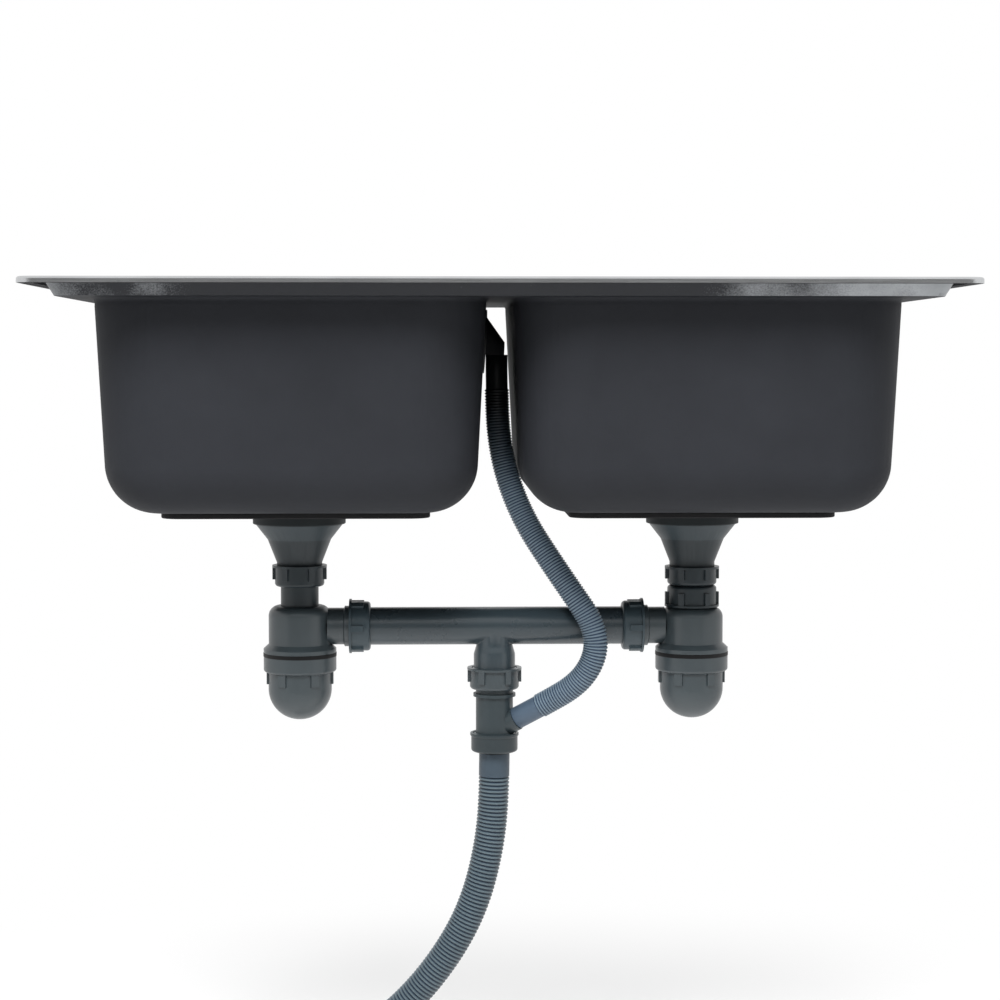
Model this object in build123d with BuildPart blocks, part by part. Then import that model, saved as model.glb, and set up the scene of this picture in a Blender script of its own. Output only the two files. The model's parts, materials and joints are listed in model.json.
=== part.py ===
from build123d import *
import math
import os

# Double bowl kitchen sink, inset type, with its strainer wastes, bottle traps,
# cross pipe and ribbed hoses. Millimetres. +X right, +Y to the back, +Z up.
# The origin is the centre of the plane where the rim rests on the worktop.

os.makedirs("parts", exist_ok=True)

LEFT = -1
RIGHT = 1
SIDES = (("left", LEFT), ("right", RIGHT))
HALF_SIN = math.sin(math.pi / 4)

# ---- sheet steel ----
SHEET = 1.0
SINK_WIDTH = 920.0
SINK_DEPTH = 500.0
RIM_CORNER_R = 18.0
RIM_TOP = 6.0  # the rim's top face above the worktop
RIM_EDGE_R = 2.5
FLANGE_WIDTH = 21.0  # flat rim, from its edge to the pressed step
STEP_RUN = 10.0  # how far the step leans in on its way down
STEP_DROP = 16.4
STEP_LEAN = math.degrees(math.atan(STEP_RUN / STEP_DROP))
STEP_CORNER_R = 30.0
DECK_TOP = RIM_TOP - STEP_DROP
DECK_UNDER = DECK_TOP - SHEET

# ---- bowls ----
BOWL_X = 207.8
BOWL_WIDTH = 388.4  # outside, at the weld under the deck
BOWL_DEPTH = 400.0
BOWL_CORNER_R = 75.0
BOWL_DRAFT = 3.0
BOWL_MOUTH_R = 5.0  # outside radius where the deck turns down into a bowl
MOUTH_COLLAR = 3.0  # straight collar under the bend, where the bowl is welded on
BOWL_TOP = DECK_UNDER - BOWL_MOUTH_R - MOUTH_COLLAR
BOWL_BOTTOM = -225.0
BOWL_FLOOR_R = 50.0

# ---- drain recess pressed into each bowl ----
DRAIN_X = 208.5
RECESS_TOP_R = 62.0
RECESS_FLOOR_R = 57.5
RECESS_DROP = 6.0
DRAIN_HOLE_R = 45.0
RECESS_FLOOR = BOWL_BOTTOM + SHEET - RECESS_DROP
RECESS_UNDER = RECESS_FLOOR - SHEET

# ---- sound pads and rim gasket ----
PAD_SIZE = 270.0
PAD_CORNER_R = 22.0
PAD_T = 6.0
PAD_X = 205.0
PAD_HOLE_R = 66.0
GASKET_INSET = 2.5  # from the rim's edge to the foam strip
GASKET_WIDTH = 11.0

# ---- strainer wastes ----
FLANGE_SEAL_T = 1.0
CUP_FLANGE_R = 56.5
CUP_MOUTH_R = 41.0
CUP_FLOOR_R = 36.5
CUP_DEPTH = 18.0
CUP_RIM = RECESS_FLOOR + FLANGE_SEAL_T + SHEET
CUP_FLOOR = CUP_RIM - CUP_DEPTH
CUP_DRAIN_R = 4.5
CUP_DRAINS = 8
CUP_DRAIN_RING_R = 23.0
SCREW_R = 2.9
SCREW_HEAD_R = 5.5
SCREW_HEAD_T = 2.4
BASKET_GAP = 0.3  # the basket's rim and stopper stand this far off the cup
BASKET_T = 0.8
BASKET_DEPTH = 14.0
BASKET_RIM_R = 42.5
BASKET_MOUTH_R = 39.4
BASKET_FLOOR_R = 35.4
BASKET_HOLES = 8
BASKET_HOLE_R = 3.0
BASKET_HOLE_RING_R = 23.5
STOPPER_R = 31.0
STOPPER_HOLE_R = 12.0
KNOB_R = 10.0
KNOB_STEM_R = 3.5
KNOB_STEM = 8.0
KNOB_HEIGHT = 6.5
WASTE_GASKET_R = 49.0
WASTE_GASKET_HOLE_R = 43.0
WASTE_FLANGE_TOP = RECESS_UNDER - 6.0
WASTE_FLANGE_R = 45.9
WASTE_FLANGE_UNDER = -245.0
FUNNEL_WAIST_R = 33.5
FUNNEL_WAIST = -261.4
NECK_R = 23.9  # outside of the G 1 1/2 thread, at its crest
NECK_TOP = -286.0
NECK_END = -303.0
BOSS_TOP = -254.0
BOSS_UNDER = -262.0
BOSS_R = 6.5
SPIDER_ARMS = 3
SPIDER_ARM_T = 3.0
SPIDER_REACH = 33.0

# ---- union nuts, lip at the open end ----
PIPE_R = 20.0
PIPE_BORE_R = 17.6
NUT_BODY_R = 26.1
NUT_LIP_R = 28.9
NUT_LIP_T = 2.4
NUT_END_T = 4.0
NUT_ROUND = 3.6
NUT_THREAD_R = 24.2
NUT_LUGS = 6
NUT_LUG_WIDTH = 6.5
NUT_LUG_LENGTH = 13.0
LEFT_NUT_TOP = -288.7
LEFT_NUT_LENGTH = 22.6
RIGHT_NUT_TOP = -291.0
RIGHT_NUT_LENGTH = 19.7
NECK_NUT_TOP = -311.3
NECK_NUT_LENGTH = 22.5
TUBE_TOP = -295.0
TRAP_NECK_TOP = -319.0
CLEAR = 0.3  # between a tube and the hole it passes through

# ---- bottle traps ----
TRAP_R = 33.0
TRAP_BORE_R = 30.5
TRAP_ROUND = 11.0
LEFT_TRAP_TOP = -331.7
RIGHT_TRAP_TOP = -334.2
TRAP_FLARE = -372.5
TRAP_FLANGE_R = 38.5
TRAP_FLANGE_TOP = -377.5
TRAP_FLANGE_UNDER = -382.5
CUP_SEAL_T = 2.5
TRAP_THREAD_R = 34.2
TRAP_THREAD_END = -397.0
DIP_TUBE_END = -425.0
CUP_RING_TOP = TRAP_FLANGE_UNDER - CUP_SEAL_T
CUP_RING_UNDER = -401.3
CUP_R = 33.5
CUP_WALL = 2.8
CUP_THREAD_R = 34.7
CUP_LUG_R = 35.3
CUP_LUGS = 6
CUP_LUG_END = -416.5
CUP_BOTTOM = -453.3

# ---- trap outlets, cross pipe and tee ----
PIPE_Z = -354.2
OUTLET_R = 19.5
OUTLET_BORE_R = 16.8
OUTLET_COLLAR_R = 21.5
OUTLET_COLLAR = 46.7  # distances from the trap's axis
OUTLET_NUT = 52.5
OUTLET_END = 66.0
OUTLET_NUT_LENGTH = 22.5
PIPE_END = 60.0
TEE_X = -2.0
TEE_BRANCH_R = 18.8
TEE_COLLAR_R = 22.0
TEE_COLLAR_TOP = -384.0
TEE_NUT_TOP = -398.7
TEE_NUT_LENGTH = 23.0
TEE_END = -413.5
TEE_BORE_R = 16.5

# ---- hose tee with its side port ----
HOSE_TEE_R = 19.75
HOSE_TEE_TOP = -405.0
HOSE_TEE_RING_R = 22.5
HOSE_TEE_RING_TOP = -426.3
HOSE_TEE_RING_T = 3.2
HOSE_TEE_BORE_R = 14.5
HOSE_SEAT = -478.0  # where the drain hose butts inside the tee
HOSE_TEE_END = -482.0
HOSE_THREAD_R = 22.8
HOSE_NUT_TOP = -468.7
HOSE_NUT_BOTTOM = -488.7
HOSE_NUT_R = 24.8
HOSE_NUT_LIP_R = 25.9
PORT_Z = -466.0  # where the port's axis crosses the tee's
PORT_DIRECTION = Vector(0.8234, -0.2997, 0.4818).normalized()
PORT_R = 12.6
PORT_LENGTH = 28.0
PORT_BORE_R = 6.8
SPIGOT_R = 8.8
SPIGOT_LENGTH = 15.0

# ---- overflow in the left bowl's inner wall ----
OVERFLOW_Z = -52.7
OVERFLOW_HOLE_R = 22.0
OVERFLOW_GASKET_R = 33.0
OVERFLOW_GASKET_T = 1.5
ELBOW_FLANGE_R = 33.5
ELBOW_FLANGE_T = 2.5
ELBOW_HOUSING_R = 26.0
ELBOW_NOSE_R = 9.0
ELBOW_NOSE_X = 8.3
ELBOW_NOSE_Z = -62.5
ELBOW_UNDER = -66.8  # flat face that the hose butts against
ELBOW_CHAMBER_R = 12.0
ELBOW_CHAMBER = 14.0
ELBOW_BORE_TOP = -58.0
ELBOW_BOSS_R = 4.5
ELBOW_BOSS = 20.0
ELBOW_EXIT_X = 0.3
FACEPLATE_R = 30.0
FACEPLATE_HEIGHT = 4.0
FACEPLATE_T = 1.2
FACEPLATE_SLOTS = 6

# ---- ribbed hoses ----
OVERFLOW_HOSE_R = 12.9
OVERFLOW_VALLEY_R = 11.5
OVERFLOW_BORE_R = 9.0
OVERFLOW_TOP_CUFF_R = 11.25
OVERFLOW_TOP_CUFF = 36.0
OVERFLOW_END_CUFF_R = 11.75
OVERFLOW_END_CUFF = 30.0
OVERFLOW_RIB_PITCH = 6.2
DRAIN_HOSE_R = 16.3
DRAIN_VALLEY_R = 14.6
DRAIN_BORE_R = 12.8
DRAIN_TOP_CUFF = 38.0
DRAIN_END_CUFF = 34.0
DRAIN_RIB_PITCH = 8.2
RIB_SHAPE = ((0.0, 0), (0.22, 1), (0.62, 1), (0.84, 0))  # (share of the pitch, on the crest)
ARC_SHARE = 0.45  # share of the shorter run that an arc's tangent takes

PORT_SEAT = Vector(TEE_X, 0, PORT_Z) + PORT_DIRECTION * PORT_LENGTH
OVERFLOW_ROUTE = [
    (0.3, 0, ELBOW_UNDER),
    (0.3, 0, -112),
    (1.0, -1, -157),
    (8.4, -6, -200),
    (27.8, -15, -243),
    (57.8, -27.5, -284),
    (80.8, -36, -316),
    (99.6, -40, -343.4),
    (106, -41.5, -368.1),
    (100.8, -39.5, -391.6),
    (84.2, -33, -413.8),
    tuple(Vector(TEE_X, 0, PORT_Z) + PORT_DIRECTION * 66),
    tuple(PORT_SEAT),
]
DRAIN_ROUTE = [
    (TEE_X, 0, HOSE_SEAT),
    (TEE_X, 0, -538),
    (-7, 0, -597),
    (-21, 1, -654),
    (-48, 4, -703),
    (-88, 9, -748),
    (-134, 16, -786),
    (-186, 26, -813),
    (-236, 38, -829),
]

# ---- connector on the drain hose's far end ----
CONNECTOR_SLEEVE_R = 19.6
CONNECTOR_SLEEVE = 22.0
CONNECTOR_FLANGE_R = 28.0
CONNECTOR_FLANGE_T = 4.0
CONNECTOR_R = 25.0  # fits a 50 mm waste socket
CONNECTOR_LENGTH = 35.0
CONNECTOR_BORE_R = 13.5


def upright(x, z, up=False):
    """A plane square to Z at (x, 0, z), whose Z points down the drain, or up."""
    return Plane(origin=(x, 0, z), x_dir=(1, 0, 0), z_dir=(0, 0, 1 if up else -1))


def axis_plane(base):
    """The plane through base's axis: its X is the radius, its Y runs along the axis."""
    return Plane(origin=base.origin, x_dir=base.x_dir, z_dir=base.x_dir.cross(base.z_dir))


def turn(base, outline, mode=Mode.ADD):
    """Revolves a closed outline of (radius, height) or (radius, height, rounding)."""
    corners = [point[:2] for point in outline]
    rounding = [point[2] if len(point) > 2 else 0 for point in outline]
    with BuildSketch(axis_plane(base)) as profile:
        with BuildLine():
            FilletPolyline(*corners, radius=rounding, close=True)
        make_face()
    revolve(profile.sketch, axis=Axis(base.origin, base.z_dir), mode=mode)


def ring(base, inner, outer, start, end, mode=Mode.ADD):
    """A plain ring or sleeve between two heights."""
    turn(base, [(inner, start), (outer, start), (outer, end), (inner, end)], mode)


def lugs(base, inner, outer, width, start, length, count):
    """Grip lugs round a nut or cup, standing on its side."""
    with BuildSketch(base.offset(start)) as plan:
        with PolarLocations((inner + outer) / 2, count):
            Rectangle(outer - inner, width)
    extrude(plan.sketch, amount=length)


def save(built, label):
    """Names a finished piece and writes its file."""
    built.part.label = label
    export_step(built.part, f"parts/{label}.step")


def bowl_box(grow):
    """The sketch outline of a bowl at its top, grown by that much all round."""
    return RectangleRounded(
        BOWL_WIDTH + 2 * grow, BOWL_DEPTH + 2 * grow, BOWL_CORNER_R + grow
    )


def bowl_block(side, inset):
    """A bowl as a solid block with its draft and rounded floor, smaller by inset all round."""
    with BuildPart() as block:
        with BuildSketch(Plane(origin=(side * BOWL_X, 0, BOWL_TOP), z_dir=(0, 0, -1))):
            bowl_box(-inset)
        extrude(amount=BOWL_TOP - BOWL_BOTTOM - inset, taper=BOWL_DRAFT)
        fillet(block.faces().sort_by(Axis.Z)[0].edges(), BOWL_FLOOR_R - inset)
    return block.part


# ======== rim and deck, one pressed sheet ========
flange_inner = (SINK_WIDTH - 2 * FLANGE_WIDTH, SINK_DEPTH - 2 * FLANGE_WIDTH)
with BuildPart() as sink_deck:
    with BuildSketch():
        RectangleRounded(SINK_WIDTH, SINK_DEPTH, RIM_CORNER_R)
    extrude(amount=RIM_TOP)
    fillet(sink_deck.faces().sort_by(Axis.Z)[-1].edges(), RIM_EDGE_R)
    with BuildSketch():
        RectangleRounded(SINK_WIDTH - 2 * SHEET, SINK_DEPTH - 2 * SHEET, RIM_CORNER_R - SHEET)
    extrude(amount=RIM_TOP - SHEET, mode=Mode.SUBTRACT)
    # the pressed step and the deck: an outer tray, less the space above it
    for grow, top, mode in ((SHEET, RIM_TOP - SHEET, Mode.ADD), (0, RIM_TOP, Mode.SUBTRACT)):
        with BuildSketch(Plane(origin=(0, 0, top), z_dir=(0, 0, -1))):
            RectangleRounded(
                flange_inner[0] + 2 * grow, flange_inner[1] + 2 * grow, STEP_CORNER_R + grow
            )
        extrude(amount=STEP_DROP, taper=STEP_LEAN, mode=mode)
    # the mouths of the bowls: the deck turns down round each one
    for side_name, side in SIDES:
        with BuildSketch(Plane.XY.offset(DECK_TOP)) as mouth:
            with Locations((side * BOWL_X, 0)):
                bowl_box(0)
        opening = mouth.sketch.faces()[0].outer_wire()
        with BuildSketch(Plane.XY.offset(DECK_TOP)) as plate_hole:
            with Locations((side * BOWL_X, 0)):
                bowl_box(BOWL_MOUTH_R)
        extrude(plate_hole.sketch, amount=-2 * SHEET, mode=Mode.SUBTRACT)
        along = opening % 0
        bend = Plane(origin=opening @ 0, x_dir=along.cross(Vector(0, 0, 1)), z_dir=along)
        outer_r = BOWL_MOUTH_R + SHEET
        down = 1 if bend.y_dir.Z < 0 else -1
        mouth_end = DECK_TOP - BOWL_TOP
        with BuildSketch(bend) as bend_section:
            with BuildLine():
                ThreePointArc(
                    (BOWL_MOUTH_R, 0),
                    (BOWL_MOUTH_R - outer_r * HALF_SIN, down * outer_r * (1 - HALF_SIN)),
                    (-SHEET, down * outer_r),
                )
                Line((-SHEET, down * outer_r), (-SHEET, down * mouth_end))
                Line((-SHEET, down * mouth_end), (0, down * mouth_end))
                Line((0, down * mouth_end), (0, down * outer_r))
                ThreePointArc(
                    (0, down * outer_r),
                    (BOWL_MOUTH_R * (1 - HALF_SIN), down * (outer_r - BOWL_MOUTH_R * HALF_SIN)),
                    (BOWL_MOUTH_R, down * SHEET),
                )
                Line((BOWL_MOUTH_R, down * SHEET), (BOWL_MOUTH_R, 0))
            make_face()
        sweep(bend_section.sketch, path=opening)
save(sink_deck, "sink_deck")

# ======== foam gasket under the rim ========
with BuildPart() as rim_gasket:
    with BuildSketch():
        outer_gap = 2 * (SHEET + GASKET_INSET)
        RectangleRounded(SINK_WIDTH - outer_gap, SINK_DEPTH - outer_gap, RIM_CORNER_R - 3)
        inner_gap = outer_gap + 2 * GASKET_WIDTH
        RectangleRounded(
            SINK_WIDTH - inner_gap, SINK_DEPTH - inner_gap, RIM_CORNER_R - 10, mode=Mode.SUBTRACT
        )
    extrude(amount=RIM_TOP - SHEET)
save(rim_gasket, "rim_gasket")

# ======== bowls and the pads under them ========
wall_lean = math.radians(BOWL_DRAFT)
overflow_wall_x = -(BOWL_X - BOWL_WIDTH / 2) - math.tan(wall_lean) * (BOWL_TOP - OVERFLOW_Z)
overflow_wall = Plane(
    origin=(overflow_wall_x, 0, OVERFLOW_Z),
    x_dir=(0, 1, 0),
    z_dir=(math.cos(wall_lean), 0, -math.sin(wall_lean)),
)
for side_name, side in SIDES:
    drain = upright(side * DRAIN_X, 0, up=True)
    with BuildPart() as bowl:
        add(bowl_block(side, 0))
        add(bowl_block(side, SHEET), mode=Mode.SUBTRACT)
        ring(drain, 0, RECESS_TOP_R, BOWL_BOTTOM - 1, BOWL_BOTTOM + 2, Mode.SUBTRACT)
        turn(drain, [
            (RECESS_TOP_R, BOWL_BOTTOM + SHEET),
            (RECESS_FLOOR_R, RECESS_FLOOR),
            (DRAIN_HOLE_R, RECESS_FLOOR),
            (DRAIN_HOLE_R, RECESS_UNDER),
            (RECESS_FLOOR_R + SHEET, RECESS_UNDER),
            (RECESS_TOP_R, BOWL_BOTTOM),
        ])
        if side == LEFT:
            ring(overflow_wall, 0, OVERFLOW_HOLE_R, -4, 4, Mode.SUBTRACT)
    save(bowl, f"{side_name}_bowl")

    with BuildPart() as sound_pad:
        with BuildSketch(Plane.XY.offset(BOWL_BOTTOM - PAD_T)):
            with Locations((side * PAD_X, 0)):
                RectangleRounded(PAD_SIZE, PAD_SIZE, PAD_CORNER_R)
            with Locations((side * DRAIN_X, 0)):
                Circle(PAD_HOLE_R, mode=Mode.SUBTRACT)
        extrude(amount=PAD_T)
    save(sound_pad, f"{side_name}_sound_pad")

# ======== strainer wastes ========
for side_name, side in SIDES:
    drain = upright(side * DRAIN_X, 0, up=True)

    with BuildPart() as flange_seal:
        ring(drain, DRAIN_HOLE_R + 0.5, CUP_FLANGE_R - 1, RECESS_FLOOR, RECESS_FLOOR + FLANGE_SEAL_T)
    save(flange_seal, f"{side_name}_flange_seal")

    with BuildPart() as strainer_cup:
        turn(drain, [
            (SCREW_R + 0.4, CUP_FLOOR),
            (CUP_FLOOR_R, CUP_FLOOR),
            (CUP_MOUTH_R, CUP_RIM, 1.5),
            (CUP_FLANGE_R, CUP_RIM),
            (CUP_FLANGE_R, CUP_RIM - SHEET),
            (CUP_MOUTH_R + SHEET, CUP_RIM - SHEET),
            (CUP_FLOOR_R + SHEET, CUP_FLOOR - SHEET),
            (SCREW_R + 0.4, CUP_FLOOR - SHEET),
        ])
        with BuildSketch(Plane.XY.offset(CUP_FLOOR - 2 * SHEET)):
            with Locations((side * DRAIN_X, 0)):
                with PolarLocations(CUP_DRAIN_RING_R, CUP_DRAINS):
                    Circle(CUP_DRAIN_R)
        extrude(amount=3 * SHEET, mode=Mode.SUBTRACT)
    save(strainer_cup, f"{side_name}_strainer_cup")

    basket_rim_under = CUP_RIM + BASKET_GAP
    basket_floor = basket_rim_under - BASKET_DEPTH
    with BuildPart() as basket:
        turn(drain, [
            (KNOB_STEM_R - 0.8, basket_floor),
            (BASKET_FLOOR_R, basket_floor),
            (BASKET_MOUTH_R, basket_rim_under + BASKET_T, 1.0),
            (BASKET_RIM_R, basket_rim_under + BASKET_T),
            (BASKET_RIM_R, basket_rim_under),
            (BASKET_MOUTH_R + BASKET_T, basket_rim_under),
            (BASKET_FLOOR_R + BASKET_T, basket_floor - BASKET_T),
            (KNOB_STEM_R - 0.8, basket_floor - BASKET_T),
        ])
        with BuildSketch(Plane.XY.offset(basket_floor - 2 * BASKET_T)):
            with Locations((side * DRAIN_X, 0)):
                with PolarLocations(BASKET_HOLE_RING_R, BASKET_HOLES):
                    Circle(BASKET_HOLE_R)
        extrude(amount=3 * BASKET_T, mode=Mode.SUBTRACT)
    save(basket, f"{side_name}_basket")

    with BuildPart() as stopper:
        stopper_top = basket_floor - BASKET_T
        turn(drain, [
            (STOPPER_HOLE_R, stopper_top),
            (BASKET_HOLE_RING_R - BASKET_HOLE_R - 1, stopper_top),
            (STOPPER_R, CUP_FLOOR + 1.4),
            (STOPPER_R, CUP_FLOOR + BASKET_GAP),
            (STOPPER_HOLE_R, CUP_FLOOR + BASKET_GAP),
        ])
    save(stopper, f"{side_name}_basket_stopper")

    with BuildPart() as knob:
        knob_under = basket_floor + KNOB_STEM
        knob_top = knob_under + KNOB_HEIGHT
        turn(drain, [
            (0, stopper_top - 0.9),
            (KNOB_STEM_R - 0.9, stopper_top - 0.9),
            (KNOB_STEM_R - 0.9, basket_floor),
            (KNOB_STEM_R, basket_floor),
            (KNOB_STEM_R, knob_under),
            (KNOB_R, knob_under + 1),
            (KNOB_R, knob_top, 3.0),
            (0, knob_top),
        ])
    save(knob, f"{side_name}_basket_knob")

    with BuildPart() as waste_gasket:
        turn(drain, [
            (WASTE_GASKET_HOLE_R, RECESS_UNDER),
            (WASTE_GASKET_R, RECESS_UNDER),
            (WASTE_GASKET_R, WASTE_FLANGE_UNDER),
            (WASTE_FLANGE_R + CLEAR, WASTE_FLANGE_UNDER),
            (WASTE_FLANGE_R + CLEAR, WASTE_FLANGE_TOP),
            (WASTE_GASKET_HOLE_R, WASTE_FLANGE_TOP),
        ])
    save(waste_gasket, f"{side_name}_waste_gasket")

    with BuildPart() as waste_body:
        turn(drain, [
            (WASTE_GASKET_HOLE_R, WASTE_FLANGE_TOP),
            (WASTE_FLANGE_R, WASTE_FLANGE_TOP),
            (WASTE_FLANGE_R, WASTE_FLANGE_UNDER - 0.5),
            (FUNNEL_WAIST_R, FUNNEL_WAIST),
            (NECK_R, NECK_TOP),
            (NECK_R, NECK_END),
            (PIPE_R + CLEAR, NECK_END),
            (PIPE_R + CLEAR, NECK_TOP + 1),
            (FUNNEL_WAIST_R - 3, FUNNEL_WAIST - 0.6),
            (WASTE_GASKET_HOLE_R, WASTE_FLANGE_UNDER - 1),
        ])
        with BuildSketch(Plane.XY.offset(BOSS_UNDER)):
            with Locations((side * DRAIN_X, 0)):
                with PolarLocations(SPIDER_REACH / 2, SPIDER_ARMS):
                    Rectangle(SPIDER_REACH, SPIDER_ARM_T)
                Circle(BOSS_R)
        extrude(amount=BOSS_TOP - BOSS_UNDER)
        ring(drain, 0, SCREW_R + 0.1, BOSS_UNDER - 1, BOSS_TOP + 1, Mode.SUBTRACT)
    save(waste_body, f"{side_name}_waste_body")

    with BuildPart() as strainer_screw:
        turn(drain, [
            (0, BOSS_UNDER),
            (SCREW_R, BOSS_UNDER),
            (SCREW_R, CUP_FLOOR),
            (SCREW_HEAD_R, CUP_FLOOR),
            (SCREW_HEAD_R, CUP_FLOOR + SCREW_HEAD_T, 1.2),
            (0, CUP_FLOOR + SCREW_HEAD_T),
        ])
    save(strainer_screw, f"{side_name}_strainer_screw")


def union_nut(base, length, lug_length=NUT_LUG_LENGTH):
    """A G 1 1/2 union nut: its lip and open end at base, its closed end at length."""
    turn(base, [
        (NUT_THREAD_R, 0),
        (NUT_LIP_R, 0),
        (NUT_LIP_R, NUT_LIP_T),
        (NUT_BODY_R, NUT_LIP_T),
        (NUT_BODY_R, length, NUT_ROUND),
        (PIPE_R + CLEAR, length),
        (PIPE_R + CLEAR, length - NUT_END_T),
        (NUT_THREAD_R, length - NUT_END_T),
    ])
    lugs(base, NUT_BODY_R - 1, NUT_LIP_R - 0.3, NUT_LUG_WIDTH, NUT_LIP_T, lug_length, NUT_LUGS)


# ======== union nuts and seals on the upright pipes ========
left_nut_base = upright(LEFT * DRAIN_X, LEFT_NUT_TOP)
right_nut_base = upright(RIGHT * DRAIN_X, RIGHT_NUT_TOP)
neck_nut_base = upright(RIGHT * DRAIN_X, NECK_NUT_TOP - NECK_NUT_LENGTH, up=True)
tee_nut_base = upright(TEE_X, TEE_NUT_TOP)
upright_nuts = (
    ("left_waste_nut", left_nut_base, LEFT_NUT_LENGTH, NUT_LUG_LENGTH),
    ("right_waste_nut", right_nut_base, RIGHT_NUT_LENGTH, NUT_LUG_LENGTH - 2),
    ("right_trap_neck_nut", neck_nut_base, NECK_NUT_LENGTH, NUT_LUG_LENGTH),
    ("tee_nut", tee_nut_base, TEE_NUT_LENGTH, NUT_LUG_LENGTH),
)
for nut_name, nut_base, nut_length, lug_length in upright_nuts:
    with BuildPart() as nut:
        union_nut(nut_base, nut_length, lug_length)
    save(nut, nut_name)

upright_seals = (
    ("left_waste_seal", LEFT * DRAIN_X, NECK_END, LEFT_NUT_TOP - LEFT_NUT_LENGTH + NUT_END_T),
    ("right_waste_seal", RIGHT * DRAIN_X, NECK_END, RIGHT_NUT_TOP - RIGHT_NUT_LENGTH + NUT_END_T),
    ("right_trap_neck_seal", RIGHT * DRAIN_X, NECK_NUT_TOP - NUT_END_T, TRAP_NECK_TOP),
    ("tee_seal", TEE_X, TEE_END, TEE_NUT_TOP - TEE_NUT_LENGTH + NUT_END_T),
)
for seal_name, seal_x, seal_top, seal_under in upright_seals:
    with BuildPart() as seal:
        ring(upright(seal_x, 0, up=True), PIPE_R + CLEAR, NECK_R, seal_under, seal_top)
    save(seal, seal_name)

with BuildPart() as right_inlet_tube:
    ring(upright(RIGHT * DRAIN_X, 0, up=True), PIPE_BORE_R, PIPE_R, TRAP_NECK_TOP - 10, TUBE_TOP)
save(right_inlet_tube, "right_inlet_tube")

# ======== bottle traps ========
for side_name, side in SIDES:
    drain = upright(side * DRAIN_X, 0, up=True)
    trap_top = LEFT_TRAP_TOP if side == LEFT else RIGHT_TRAP_TOP
    outlet = Plane(origin=(side * DRAIN_X, 0, PIPE_Z), x_dir=(0, 1, 0), z_dir=(-side, 0, 0))

    with BuildPart() as trap_body:
        turn(drain, [
            (PIPE_BORE_R, trap_top),
            (TRAP_R, trap_top, TRAP_ROUND),
            (TRAP_R, TRAP_FLARE),
            (TRAP_FLANGE_R, TRAP_FLANGE_TOP),
            (TRAP_FLANGE_R, TRAP_FLANGE_UNDER),
            (TRAP_THREAD_R, TRAP_FLANGE_UNDER),
            (TRAP_THREAD_R, TRAP_THREAD_END),
            (TRAP_BORE_R, TRAP_THREAD_END),
            (TRAP_BORE_R, trap_top - 2.6, TRAP_ROUND - 2.6),
            (PIPE_BORE_R, trap_top - 2.6),
        ])
        turn(outlet, [
            (0, TRAP_BORE_R - 1),
            (OUTLET_R, TRAP_BORE_R - 1),
            (OUTLET_R, OUTLET_COLLAR),
            (OUTLET_COLLAR_R, OUTLET_COLLAR + 1),
            (OUTLET_COLLAR_R, OUTLET_NUT),
            (NECK_R, OUTLET_NUT + 1),
            (NECK_R, OUTLET_END),
            (0, OUTLET_END),
        ])
        turn(outlet, [
            (0, 0),
            (OUTLET_BORE_R, 0),
            (OUTLET_BORE_R, PIPE_END - 1),
            (PIPE_R + CLEAR, PIPE_END - 1),
            (PIPE_R + CLEAR, OUTLET_END + 1),
            (0, OUTLET_END + 1),
        ], Mode.SUBTRACT)
        if side == LEFT:
            ring(drain, PIPE_BORE_R, PIPE_R, DIP_TUBE_END, TUBE_TOP)
        else:
            ring(drain, PIPE_R + CLEAR, NECK_R, trap_top - 2, TRAP_NECK_TOP)
            ring(drain, PIPE_BORE_R - 2.4, PIPE_R + CLEAR, DIP_TUBE_END, trap_top)
    save(trap_body, f"{side_name}_trap_body")

    with BuildPart() as cup_seal:
        ring(drain, TRAP_THREAD_R + 0.8, TRAP_FLANGE_R - 0.7, CUP_RING_TOP, TRAP_FLANGE_UNDER)
    save(cup_seal, f"{side_name}_cup_seal")

    with BuildPart() as trap_cup:
        turn(drain, [
            (CUP_THREAD_R, CUP_RING_TOP),
            (TRAP_FLANGE_R, CUP_RING_TOP),
            (TRAP_FLANGE_R, CUP_RING_UNDER, 3.0),
            (CUP_R, CUP_RING_UNDER - 2),
            (CUP_R, CUP_BOTTOM, CUP_R - 0.6),
            (0, CUP_BOTTOM),
            (0, CUP_BOTTOM + CUP_WALL),
            (CUP_R - CUP_WALL, CUP_BOTTOM + CUP_WALL, CUP_R - CUP_WALL - 0.6),
            (CUP_R - CUP_WALL, TRAP_THREAD_END - 2),
            (CUP_THREAD_R, TRAP_THREAD_END - 1),
        ])
        lugs(
            upright(side * DRAIN_X, CUP_RING_UNDER), CUP_R - 1, CUP_LUG_R, 9.0,
            -1.0, CUP_RING_UNDER - CUP_LUG_END, CUP_LUGS,
        )
    save(trap_cup, f"{side_name}_trap_cup")

    with BuildPart() as outlet_nut:
        union_nut(outlet.offset(OUTLET_NUT), OUTLET_NUT_LENGTH)
    save(outlet_nut, f"{side_name}_outlet_nut")

    with BuildPart() as outlet_seal:
        ring(outlet, PIPE_R + CLEAR, NECK_R, OUTLET_END, OUTLET_NUT + OUTLET_NUT_LENGTH - NUT_END_T)
    save(outlet_seal, f"{side_name}_outlet_seal")

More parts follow.
